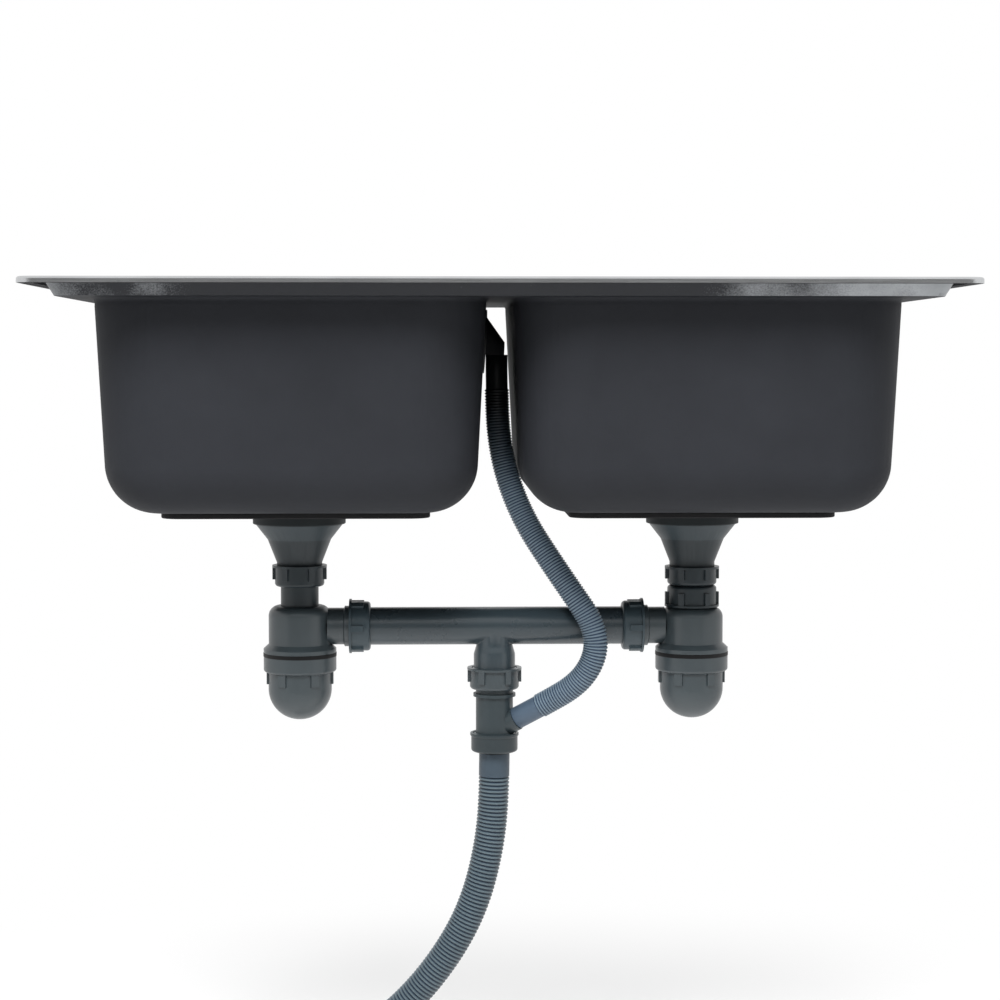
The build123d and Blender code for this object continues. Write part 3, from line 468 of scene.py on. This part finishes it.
def make_materials(finish):
    """Every material of the sink, by the name the pieces use."""
    plastic = tuple(finish.plastic)

    def tinted(share, tint=BLUER):
        """The plastic's colour at that share, with a tint; a share below 1 is painted shade."""
        return tuple(share * tone * part for tone, part in zip(tint, plastic))

    return {
        "deck": brushed_steel("brushed deck", (16.0, 1700.0, 1700.0)),
        "bowl inside": brushed_steel("brushed bowl", (900.0, 22.0, 900.0)),
        "polished": polished_steel(),
        "chrome": chrome(),
        "undercoat": undercoat(tuple(finish.undercoat)),
        "oversprayed steel with painted sheen": sprayed_steel_painted_sheen(tuple(finish.undercoat)),
        # one grey plastic in lit and shaded copies: shares below 1 are painted shade, deepest on
        # the pieces high up under the bowls
        "plastic": moulded_plastic("grey plastic", plastic, 0.28, 0.38, gloss=0.6),
        "flare": moulded_plastic("flare plastic", tinted(0.72), 0.36, 0.46),
        "funnel": moulded_plastic("funnel plastic", tinted(0.43), 0.36, 0.46),
        "tube": moulded_plastic("tube plastic", tinted(0.46), 0.36, 0.46),
        "nut": moulded_plastic("nut plastic", tinted(0.48), 0.30, 0.40),
        "light nut": moulded_plastic("light nut plastic", tinted(1.0), 0.30, 0.40),
        "tee": moulded_plastic("tee plastic", tinted(0.77, NEUTRAL), 0.34, 0.44),
        "hose nut": moulded_plastic("hose nut plastic", tinted(0.61, NEUTRAL), 0.30, 0.40),
        "pipe": moulded_plastic("pipe plastic", tuple(finish.pipe), 0.26, 0.30, gloss=0.62),
        "black plastic": soft_black("black plastic", 0.019, 2200.0, 0.02 * MM, 0.40, 0.50),
        "overflow hose": hose_plastic(
            "overflow hose plastic", tuple(finish.overflow_hose), OVERFLOW_SHADE_FULL, OVERFLOW_SHADE_GONE
        ),
        "drain hose": hose_plastic(  # all of it hangs below the painted shade
            "drain hose plastic", tuple(finish.drain_hose), shade_full_above=0.1, shade_gone_below=0.0
        ),
        "rubber": soft_black("black rubber", 0.004, 1800.0, 0.03 * MM, 0.55, 0.68),
        "waste gasket": soft_black(
            "gasket rubber", 0.011, 1800.0, 0.03 * MM, 0.50, 0.62, green=1.35
        ),
        "pad": soft_black("damping pad", 0.009, 420.0, 0.25 * MM, 0.70, 0.82),
        "foam": soft_black("foam strip", 0.030, 1400.0, 0.30 * MM, 0.85, 0.95),
    }


def finish_material(name):
    """The material of that name, built on first use from the scene's finish settings."""
    if not MATERIALS:
        MATERIALS.update(make_materials(bpy.context.scene.sink_finish))
    return MATERIALS[name]


# ======== mesh helpers ========
def new_object(name, mesh):
    piece = bpy.data.objects.new(name, mesh)
    bpy.context.scene.collection.objects.link(piece)
    return piece


def stand_for(piece, *nodes):
    """The piece shows in place of those nodes, on their body."""
    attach(piece, BODY_OF[nodes[0]])
    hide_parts(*nodes)
    return piece


def skin(node, material, crease=30.0, edge=0.0):
    """A clean copy of a CAD piece, its curved faces smooth and its edges slightly rounded."""
    mesh = frame["nodes"][node].data.copy()
    mesh.materials.clear()
    work = bmesh.new()
    work.from_mesh(mesh)
    bmesh.ops.remove_doubles(work, verts=work.verts, dist=MERGE_DISTANCE)
    bmesh.ops.dissolve_limit(work, angle_limit=FLAT_ANGLE, verts=work.verts, edges=work.edges)
    work.to_mesh(mesh)
    work.free()
    mesh.shade_smooth()
    mesh.set_sharp_from_angle(angle=math.radians(crease))
    mesh.materials.append(finish_material(material))
    piece = new_object(f"{node}_skin", mesh)
    if edge:
        rounding = piece.modifiers.new("rounded edges", "BEVEL")
        rounding.width = edge
        rounding.segments = 2
        rounding.limit_method = "ANGLE"
        rounding.angle_limit = math.radians(crease + EDGE_MARGIN)
        rounding.use_clamp_overlap = True
    even = piece.modifiers.new("even normals", "WEIGHTED_NORMAL")
    even.keep_sharp = True
    return stand_for(piece, node)


def finish_below(piece, material, height):
    """Gives the piece's faces below that height another material."""
    piece.data.materials.append(finish_material(material))
    for face in piece.data.polygons:
        if face.center.z < height:
            face.material_index = 1


def lathe_strip(work, outline, sides, groove):
    """Turns an open outline of (radius, height) round Z into rows of faces.

    groove says how deep in a groove each point of the outline is, or is None.
    """
    layer = work.verts.layers.float.get("groove") or work.verts.layers.float.new("groove")
    rows = []
    for index, (radius, height) in enumerate(outline):
        row = []
        for side in range(sides):
            turn = 2 * math.pi * side / sides
            vert = work.verts.new((radius * math.cos(turn), radius * math.sin(turn), height))
            vert[layer] = groove[index] if groove else 0.0
            row.append(vert)
        rows.append(row)
    for low, high in zip(rows, rows[1:]):
        for side in range(sides):
            after = (side + 1) % sides
            work.faces.new((low[side], low[after], high[after], high[side]))


def strip_object(name, strips, sides):
    """An object of several lathed strips, joined where they meet."""
    work = bmesh.new()
    for outline, groove in strips:
        lathe_strip(work, outline, sides, groove)
    bmesh.ops.remove_doubles(work, verts=work.verts, dist=MERGE_DISTANCE)
    mesh = bpy.data.meshes.new(name)
    work.to_mesh(mesh)
    work.free()
    return new_object(name, mesh)


# ======== geometry nodes ========
def modifier_input(modifier, tree, label, value):
    """Sets a modifier's input by its socket's identifier."""
    for socket in tree.interface.items_tree:
        if socket.item_type == "SOCKET" and socket.in_out == "INPUT" and socket.name == label:
            modifier[socket.identifier] = value


def as_plain_mesh(piece, name):
    """The piece's evaluated form as an object of its own; the helper is removed."""
    depsgraph = bpy.context.evaluated_depsgraph_get()
    mesh = bpy.data.meshes.new_from_object(piece.evaluated_get(depsgraph))
    bpy.data.objects.remove(piece)
    mesh.name = name
    return new_object(name, mesh)


def hose_tree():
    """Repeats a rib along Z between two cuffs, then bends the whole hose along a route."""
    tree = bpy.data.node_groups.new("ribbed hose", "GeometryNodeTree")
    for label, kind in (
        ("Geometry", "NodeSocketGeometry"), ("Rib", "NodeSocketObject"),
        ("Route", "NodeSocketObject"), ("Ribs", "NodeSocketInt"), ("Pitch", "NodeSocketFloat"),
        ("First Rib", "NodeSocketFloat"), ("Material", "NodeSocketMaterial"),
    ):
        tree.interface.new_socket(label, in_out="INPUT", socket_type=kind)
    tree.interface.new_socket("Geometry", in_out="OUTPUT", socket_type="NodeSocketGeometry")
    given = tree.nodes.new("NodeGroupInput").outputs
    result = tree.nodes.new("NodeGroupOutput").inputs

    # the ribs, in a row from the top cuff to the end cuff
    rib = add_node(tree, "GeometryNodeObjectInfo", {"Object": given["Rib"]})
    start = add_node(tree, "ShaderNodeCombineXYZ", {"Z": given["First Rib"]})
    step = add_node(tree, "ShaderNodeCombineXYZ", {"Z": given["Pitch"]})
    places = add_node(tree, "GeometryNodeMeshLine", {
        "Count": given["Ribs"], "Start Location": start.outputs["Vector"],
        "Offset": step.outputs["Vector"],
    })
    ribs = add_node(tree, "GeometryNodeInstanceOnPoints", {
        "Points": places.outputs["Mesh"], "Instance": rib.outputs["Geometry"],
    })
    loose = add_node(
        tree, "GeometryNodeRealizeInstances", {"Geometry": ribs.outputs["Instances"]}
    )
    whole = add_node(tree, "GeometryNodeJoinGeometry", {"Geometry": given["Geometry"]})
    tree.links.new(loose.outputs["Geometry"], whole.inputs["Geometry"])
    merged = add_node(tree, "GeometryNodeMergeByDistance", {
        "Geometry": whole.outputs["Geometry"], "Distance": 10 * MERGE_DISTANCE,
    })

    # each point goes to its distance along the route, at its own place round the line
    here = add_node(tree, "GeometryNodeInputPosition").outputs["Position"]
    apart = add_node(tree, "ShaderNodeSeparateXYZ", {"Vector": here}).outputs
    route = add_node(tree, "GeometryNodeObjectInfo", {"Object": given["Route"]})
    line = add_node(tree, "GeometryNodeSampleCurve", {
        "Curves": route.outputs["Geometry"], "Length": apart["Z"],
    }, mode="LENGTH").outputs
    across = add_vector_math(tree, "CROSS_PRODUCT", {0: line["Tangent"], 1: line["Normal"]})
    out_x = add_vector_math(tree, "SCALE", {0: line["Normal"], "Scale": apart["X"]})
    out_y = add_vector_math(tree, "SCALE", {0: across, "Scale": apart["Y"]})
    offset = add_vector_math(tree, "ADD", {0: out_x, 1: out_y})
    place = add_vector_math(tree, "ADD", {0: line["Position"], 1: offset})
    bent = add_node(tree, "GeometryNodeSetPosition", {
        "Geometry": merged.outputs["Geometry"], "Position": place,
    })
    real = add_node(tree, "GeometryNodeRealizeInstances", {"Geometry": bent.outputs["Geometry"]})
    coat = add_node(tree, "GeometryNodeSetMaterial", {
        "Geometry": real.outputs["Geometry"], "Material": given["Material"],
    })
    tree.links.new(coat.outputs["Geometry"], result["Geometry"])
    return tree


# ======== hoses ========
RIB_OUTLINE = (  # (share of the pitch, share of the way from valley to crest)
    (0.0, 0.0), (0.14, 0.1), (0.27, 0.82), (0.38, 1.0), (0.62, 1.0), (0.73, 0.82), (0.88, 0.1),
    (1.0, 0.0),
)
CUFF_SHADE = 0.62  # how far the cuffs' colour goes towards that of the grooves
CUFF_STEP = 0.9 * MM  # length over which a cuff ends at the first groove
CUFF_CHAMFER = 0.4 * MM
RIB_CREASE = math.radians(60)
HOSES = {  # radii, and lengths of the plain cuffs
    "overflow_hose": {
        "bore": 9.0 * MM, "valley": 11.7 * MM, "crest": 12.9 * MM, "top_cuff": 36.0 * MM,
        "end_cuff": 30.0 * MM, "top_r": 11.6 * MM, "end_r": 11.75 * MM,
    },
    "drain_hose": {
        "bore": 12.8 * MM, "valley": 14.6 * MM, "crest": 16.3 * MM, "top_cuff": 38.0 * MM,
        "end_cuff": 34.0 * MM, "top_r": 16.3 * MM, "end_r": 16.3 * MM,
    },
}


def smooth_line(name, points):
    """The hose's centre line: one open NURBS spline with the route's points as control points."""
    curve = bpy.data.curves.new(name, "CURVE")
    curve.dimensions = "3D"
    curve.resolution_u = 20
    spline = curve.splines.new("NURBS")
    spline.points.add(len(points) - 1)
    for control, place in zip(spline.points, points):
        control.co = (*place, 1.0)
    spline.order_u = 3
    spline.use_endpoint_u = True
    return new_object(name, curve)


def points_on(line):
    """The points of the line's curve, which has no bevel, in order."""
    depsgraph = bpy.context.evaluated_depsgraph_get()
    mesh = bpy.data.meshes.new_from_object(line.evaluated_get(depsgraph))
    return [vert.co.copy() for vert in mesh.vertices]


def make_hose(name, node, points, sizes, pitch, sides):
    """A ribbed hose with plain cuffs at both ends and its bore, along its route."""
    line = smooth_line(f"{name}_line", points)
    path = points_on(line)
    length = sum((b - a).length for a, b in zip(path, path[1:]))
    ribbed = length - sizes["top_cuff"] - sizes["end_cuff"]
    count = round(ribbed / pitch)
    pitch = ribbed / count
    bore, valley, crest = sizes["bore"], sizes["valley"], sizes["crest"]
    depth = crest - valley
    rib = strip_object(f"{name}_rib", [
        ([(valley + depth * rise, share * pitch) for share, rise in RIB_OUTLINE],
         [1.0 - rise for _, rise in RIB_OUTLINE]),
        ([(bore, pitch), (bore, 0.0)], None),
    ], sides)
    top, end, top_r, end_r = (sizes[k] for k in ("top_cuff", "end_cuff", "top_r", "end_r"))
    cuffs = strip_object(f"{name}_cuffs", [
        ([(bore, top), (bore, 0.0), (top_r - CUFF_CHAMFER, 0.0), (top_r, CUFF_CHAMFER),
          (top_r, top / 2), (top_r, top - CUFF_STEP), (valley, top)], [CUFF_SHADE] * 6 + [1.0]),
        ([(valley, length - end), (end_r, length - end + CUFF_STEP), (end_r, length - end / 2),
          (end_r, length - CUFF_CHAMFER), (end_r - CUFF_CHAMFER, length), (bore, length),
          (bore, length - end)], [1.0] + [CUFF_SHADE] * 6),
    ], sides)
    tree = hose_tree()
    bend = cuffs.modifiers.new("ribs along the route", "NODES")
    bend.node_group = tree
    for label, value in (
        ("Rib", rib), ("Route", line), ("Ribs", count), ("Pitch", pitch), ("First Rib", top),
        ("Material", finish_material(node.replace("_", " "))),
    ):
        modifier_input(bend, tree, label, value)
    hose = as_plain_mesh(cuffs, name)
    bpy.data.objects.remove(rib)
    bpy.data.objects.remove(line)
    hose.data.shade_smooth()
    hose.data.set_sharp_from_angle(angle=RIB_CREASE)
    stand_for(hose, node)
    return hose, path


# ======== operators: one for each group of pieces ========
class SINK_OT_hoses(bpy.types.Operator):
    """Make the overflow hose and the drain hose with its connector"""

    bl_idname = "sink.hoses"
    bl_label = "Hoses"

    def execute(self, context):
        settings = context.scene.hose_sizes
        overflow, path = make_hose(
            "overflow_hose_ribbed", "overflow_hose", OVERFLOW_ROUTE, HOSES["overflow_hose"],
            settings.overflow_pitch, settings.sides,
        )
        drain, path = make_hose(
            "drain_hose_ribbed", "drain_hose", DRAIN_ROUTE, HOSES["drain_hose"],
            settings.drain_pitch, settings.sides,
        )
        connector = skin("drain_hose_end", "nut", edge=0.4 * MM)
        return {"FINISHED"}


BRUSHED, OVERSPRAY_AND_SHEEN, UNDERCOATED = range(3)  # the deck's finishes, by material index


def deck_finish(face):
    """Which finish a face of the deck has, from where it is and the way it faces."""
    if face.center.z > DECK_UNDER + 0.5 * MM:  # the rim and its step
        # downward faces of the rim: overspray with painted sheen
        return OVERSPRAY_AND_SHEEN if face.normal.z < -0.1 else BRUSHED
    if face.normal.z < -0.9:  # the flat underside round the mouths
        return UNDERCOATED
    side = math.copysign(BOWL_X, face.center.x)
    outward = Vector((face.center.x - side, face.center.y, 0))
    return UNDERCOATED if face.normal.dot(outward) > 0 else BRUSHED


class SINK_OT_sheet_steel(bpy.types.Operator):
    """Dress the pressed deck and the two bowls"""

    bl_idname = "sink.sheet_steel"
    bl_label = "Deck and Bowls"

    def execute(self, context):
        deck = skin("sink_deck", "deck", crease=24.0)
        deck.data.materials.append(finish_material("oversprayed steel with painted sheen"))
        deck.data.materials.append(finish_material("undercoat"))
        for face in deck.data.polygons:
            face.material_index = deck_finish(face)
        skin("rim_gasket", "foam")
        for side, sign in SIDES:
            bowl = skin(f"{side}_bowl", "bowl inside", crease=35.0)
            bowl.data.materials.append(finish_material("undercoat"))
            middle = Vector((sign * BOWL_X, 0, 0))
            for face in bowl.data.polygons:
                inward = middle - face.center
                inward.z = max(0.0, inward.z)
                if face.normal.dot(inward) < 0:
                    face.material_index = 1
            skin(f"{side}_sound_pad", "pad", edge=1.2 * MM)
        return {"FINISHED"}


class SINK_OT_strainers(bpy.types.Operator):
    """Dress the strainer cups, baskets, knobs, stoppers and screws"""

    bl_idname = "sink.strainers"
    bl_label = "Strainers"

    def execute(self, context):
        for side, _ in SIDES:
            skin(f"{side}_strainer_cup", "polished", edge=0.3 * MM)
            skin(f"{side}_basket", "polished", edge=0.25 * MM)
            skin(f"{side}_basket_knob", "chrome", edge=0.3 * MM)
            skin(f"{side}_basket_stopper", "rubber", edge=0.3 * MM)
            skin(f"{side}_strainer_screw", "polished")
            skin(f"{side}_flange_seal", "rubber")
        return {"FINISHED"}


class SINK_OT_wastes(bpy.types.Operator):
    """Dress the waste bodies, traps, cross pipe and tees"""

    bl_idname = "sink.wastes"
    bl_label = "Wastes and Traps"

    def execute(self, context):
        for side, _ in SIDES:
            skin(f"{side}_waste_gasket", "waste gasket", edge=1.0 * MM)
            funnel = skin(f"{side}_waste_body", "flare", crease=24.0, edge=0.4 * MM)
            finish_below(funnel, "funnel", FUNNEL_WAIST)
            trap = skin(f"{side}_trap_body", "tube", edge=0.5 * MM)
            finish_below(trap, "plastic", TRAP_TOP)
            self.thick_seal(side)
            skin(f"{side}_trap_cup", "plastic", edge=0.5 * MM)
        skin("right_inlet_tube", "tube")
        skin("cross_pipe", "pipe", edge=0.4 * MM)
        skin("hose_tee", "tee", edge=0.4 * MM)
        return {"FINISHED"}

    def thick_seal(self, side):
        """The cup's rubber ring, squeezed out round the joint a little."""
        seal = skin(f"{side}_cup_seal", "rubber", edge=0.4 * MM)
        low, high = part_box(f"{side}_cup_seal")
        middle = (Vector(low) + Vector(high)) / 2
        for vert in seal.data.vertices:
            out = Vector((vert.co.x - middle.x, vert.co.y - middle.y, 0))
            if out.length > SEAL_MIDDLE:
                vert.co += out.normalized() * SEAL_BULGE
                vert.co.z = middle.z + (vert.co.z - middle.z) * SEAL_SWELL


NUT_FINISH = {  # nuts with less painted shade than the others, which sit higher up under the bowls
    "tee": "plastic", "hose": "hose nut", "left_outlet": "light nut", "right_outlet": "light nut",
}


class SINK_OT_nuts(bpy.types.Operator):
    """Dress the union nuts and their seals"""

    bl_idname = "sink.nuts"
    bl_label = "Union Nuts"

    def execute(self, context):
        for name in ("left_waste", "right_waste", "right_trap_neck", "tee", "left_outlet",
                     "right_outlet", "hose"):
            finish = NUT_FINISH.get(name, "nut")
            skin(f"{name}_nut", finish, edge=0.45 * MM)
            skin(f"{name}_seal", "rubber")
        return {"FINISHED"}


class SINK_OT_overflow(bpy.types.Operator):
    """Dress the overflow's plate, screw, gasket and elbow"""

    bl_idname = "sink.overflow"
    bl_label = "Overflow"

    def execute(self, context):
        skin("overflow_gasket", "rubber")
        skin("overflow_elbow", "black plastic", edge=0.5 * MM)
        skin("overflow_faceplate", "polished", edge=0.25 * MM)
        skin("overflow_screw", "polished", edge=0.2 * MM)
        return {"FINISHED"}


# ======== stage ========
CAMERA_PLACE = (-66.7 * MM, -2344.7 * MM, -78.1 * MM)
CAMERA_TURN = math.radians(1.726)
CAMERA_TILT = math.radians(3.473)
CAMERA_LENS = 79.76
FLOOR_SIZE = 30.0
FLOOR_COLOUR = (0.86, 0.86, 0.86, 1)
SHADOW_FULL, SHADOW_GONE = 0.25, 1.1  # distances from the middle over which the shadow fades
CARD_PLACE = (-3.8, -0.6)  # its Y and the height of its middle
CARD_WIDTH = 7.0
CARD_HEIGHT = 3.4
CARD_GLOW = 0.22
WHITE = (1, 1, 1, 1)
BLACK = (0, 0, 0, 1)
LAMPS = (  # name, place, aimed at, width, the setting of its power and its share of that
    ("key lamp", (-0.4, -2.2, 2.3), (0, 0, -0.3), 1.8, "key", 1.0),
    ("fill lamp", (0.9, -3.0, -0.1), (0, 0, -0.4), 1.2, "fill", 1.0),
    ("back lamp", (0.6, 2.2, 1.8), (0, 0, -0.2), 1.8, "key", 0.5),
)


def seen_plainly(tree):
    """1 for what the camera, gloss or glass sees, 0 for the light that falls on things."""
    rays = add_node(tree, "ShaderNodeLightPath").outputs
    seen = add_math(tree, "MAXIMUM", rays["Is Camera Ray"], rays["Is Glossy Ray"])
    return add_math(tree, "MAXIMUM", seen, rays["Is Transmission Ray"])


def make_world(strength):
    """Even white light all round, plain white where it is seen."""
    world = bpy.data.worlds.new("studio")
    world.use_nodes = True
    bpy.context.scene.world = world
    tree = world.node_tree
    lit = tree.nodes["Background"]
    lit.inputs["Color"].default_value = WHITE
    lit.inputs["Strength"].default_value = strength
    white = add_node(tree, "ShaderNodeBackground", {"Color": WHITE, "Strength": 1.0})
    mix = add_node(tree, "ShaderNodeMixShader", {
        "Fac": seen_plainly(tree), 1: lit.outputs["Background"], 2: white.outputs["Background"],
    })
    tree.links.new(mix.outputs["Shader"], tree.nodes["World Output"].inputs["Surface"])


def make_floor(level):
    """A pale floor that keeps the sink's shadow and turns to plain white further out."""
    bpy.ops.mesh.primitive_plane_add(size=FLOOR_SIZE, location=(0, 0, 0))
    floor = bpy.context.object
    floor.name = "floor"
    for vert in floor.data.vertices:
        vert.co.z = level
    surface = Surface("pale floor")
    tree = surface.tree
    surface.uniform(Base_Color=FLOOR_COLOUR, Roughness=0.9, Specular_IOR_Level=0.0)
    glow = add_node(tree, "ShaderNodeEmission", {"Color": WHITE, "Strength": 1.0})
    flat = add_vector_math(tree, "MULTIPLY", {0: surface.place, 1: (1, 1, 0)})
    away = add_vector_math(tree, "LENGTH", {0: flat}, output="Value")
    fade = add_node(tree, "ShaderNodeMapRange", {
        "Value": away, "From Min": SHADOW_FULL, "From Max": SHADOW_GONE,
    }, interpolation_type="SMOOTHSTEP")
    share = add_math(tree, "MULTIPLY", fade.outputs["Result"], seen_plainly(tree))
    mix = add_node(tree, "ShaderNodeMixShader", {
        "Fac": share, 1: surface.shader.outputs["BSDF"], 2: glow.outputs["Emission"],
    })
    tree.links.new(mix.outputs["Shader"], tree.nodes["Material Output"].inputs["Surface"])
    floor.data.materials.append(surface.material)


def make_dark_card():
    """A dark screen behind the camera, which the steel and the plastic mirror."""
    bpy.ops.mesh.primitive_plane_add(size=1, location=(0, 0, 0))
    card = bpy.context.object
    card.name = "dark_card"
    for vert in card.data.vertices:
        vert.co = (vert.co.x * CARD_WIDTH, CARD_PLACE[0], CARD_PLACE[1] + vert.co.y * CARD_HEIGHT)
    surface = Surface("dark card")
    surface.uniform(
        Base_Color=BLACK, Roughness=0.9, Specular_IOR_Level=0.0, Emission_Color=WHITE,
        Emission_Strength=CARD_GLOW,
    )
    card.data.materials.append(surface.material)
    card.visible_camera = False


def make_lamp(name, place, target, size, power):
    """A large soft lamp aimed at a point."""
    lamp = bpy.data.lights.new(name, "AREA")
    lamp.shape = "DISK"
    lamp.size = size
    lamp.energy = power
    holder = new_object(name, lamp)
    holder.location = place
    holder.rotation_euler = (Vector(target) - Vector(place)).to_track_quat("-Z", "Y").to_euler()
    holder.visible_glossy = False


class SINK_OT_stage(bpy.types.Operator):
    """Make the floor, the lamps, the even light and the camera"""

    bl_idname = "sink.stage"
    bl_label = "Stage"

    def execute(self, context):
        settings = context.scene.stage_settings
        make_world(settings.sky)
        make_floor(CAD_BOX[0][2] - settings.floor_gap)
        make_dark_card()
        for name, place, target, size, power, share in LAMPS:
            make_lamp(name, place, target, size, share * getattr(settings, power))
        camera_data = bpy.data.cameras.new("camera")
        camera_data.lens = CAMERA_LENS
        camera = new_object("camera", camera_data)
        camera.location = CAMERA_PLACE
        camera.rotation_euler = (math.pi / 2 - CAMERA_TILT, 0, -CAMERA_TURN)
        context.scene.camera = camera
        context.scene.view_settings.view_transform = "Standard"
        return {"FINISHED"}


class SINK_PT_panel(bpy.types.Panel):
    """Lists the sink's groups of pieces and their settings"""

    bl_idname = "SINK_PT_panel"
    bl_label = "Double Bowl Sink"
    bl_space_type = "VIEW_3D"
    bl_region_type = "UI"
    bl_category = "Sink"

    def draw(self, context):
        for operator in OPERATORS:
            self.layout.operator(operator.bl_idname)
        for settings in (
            context.scene.sink_finish, context.scene.hose_sizes, context.scene.stage_settings
        ):
            box = self.layout.box()
            for name in settings.bl_rna.properties.keys():
                if name not in ("rna_type", "name"):
                    box.prop(settings, name)


OPERATORS = (
    SINK_OT_stage, SINK_OT_hoses, SINK_OT_sheet_steel, SINK_OT_strainers, SINK_OT_wastes,
    SINK_OT_nuts, SINK_OT_overflow,
)
CLASSES = (SinkFinish, HoseSizes, StageSettings, *OPERATORS, SINK_PT_panel)


def register():
    for cls in CLASSES:
        bpy.utils.register_class(cls)
    scene = bpy.types.Scene
    scene.sink_finish = bpy.props.PointerProperty(type=SinkFinish)
    scene.hose_sizes = bpy.props.PointerProperty(type=HoseSizes)
    scene.stage_settings = bpy.props.PointerProperty(type=StageSettings)


def unregister():
    del bpy.types.Scene.stage_settings
    del bpy.types.Scene.hose_sizes
    del bpy.types.Scene.sink_finish
    for cls in reversed(CLASSES):
        bpy.utils.unregister_class(cls)


def main():
    register()
    for name in ("stage", "hoses", "sheet_steel", "strainers", "wastes", "nuts", "overflow"):
        getattr(bpy.ops.sink, name)()


if __name__ == "__main__":
    main()
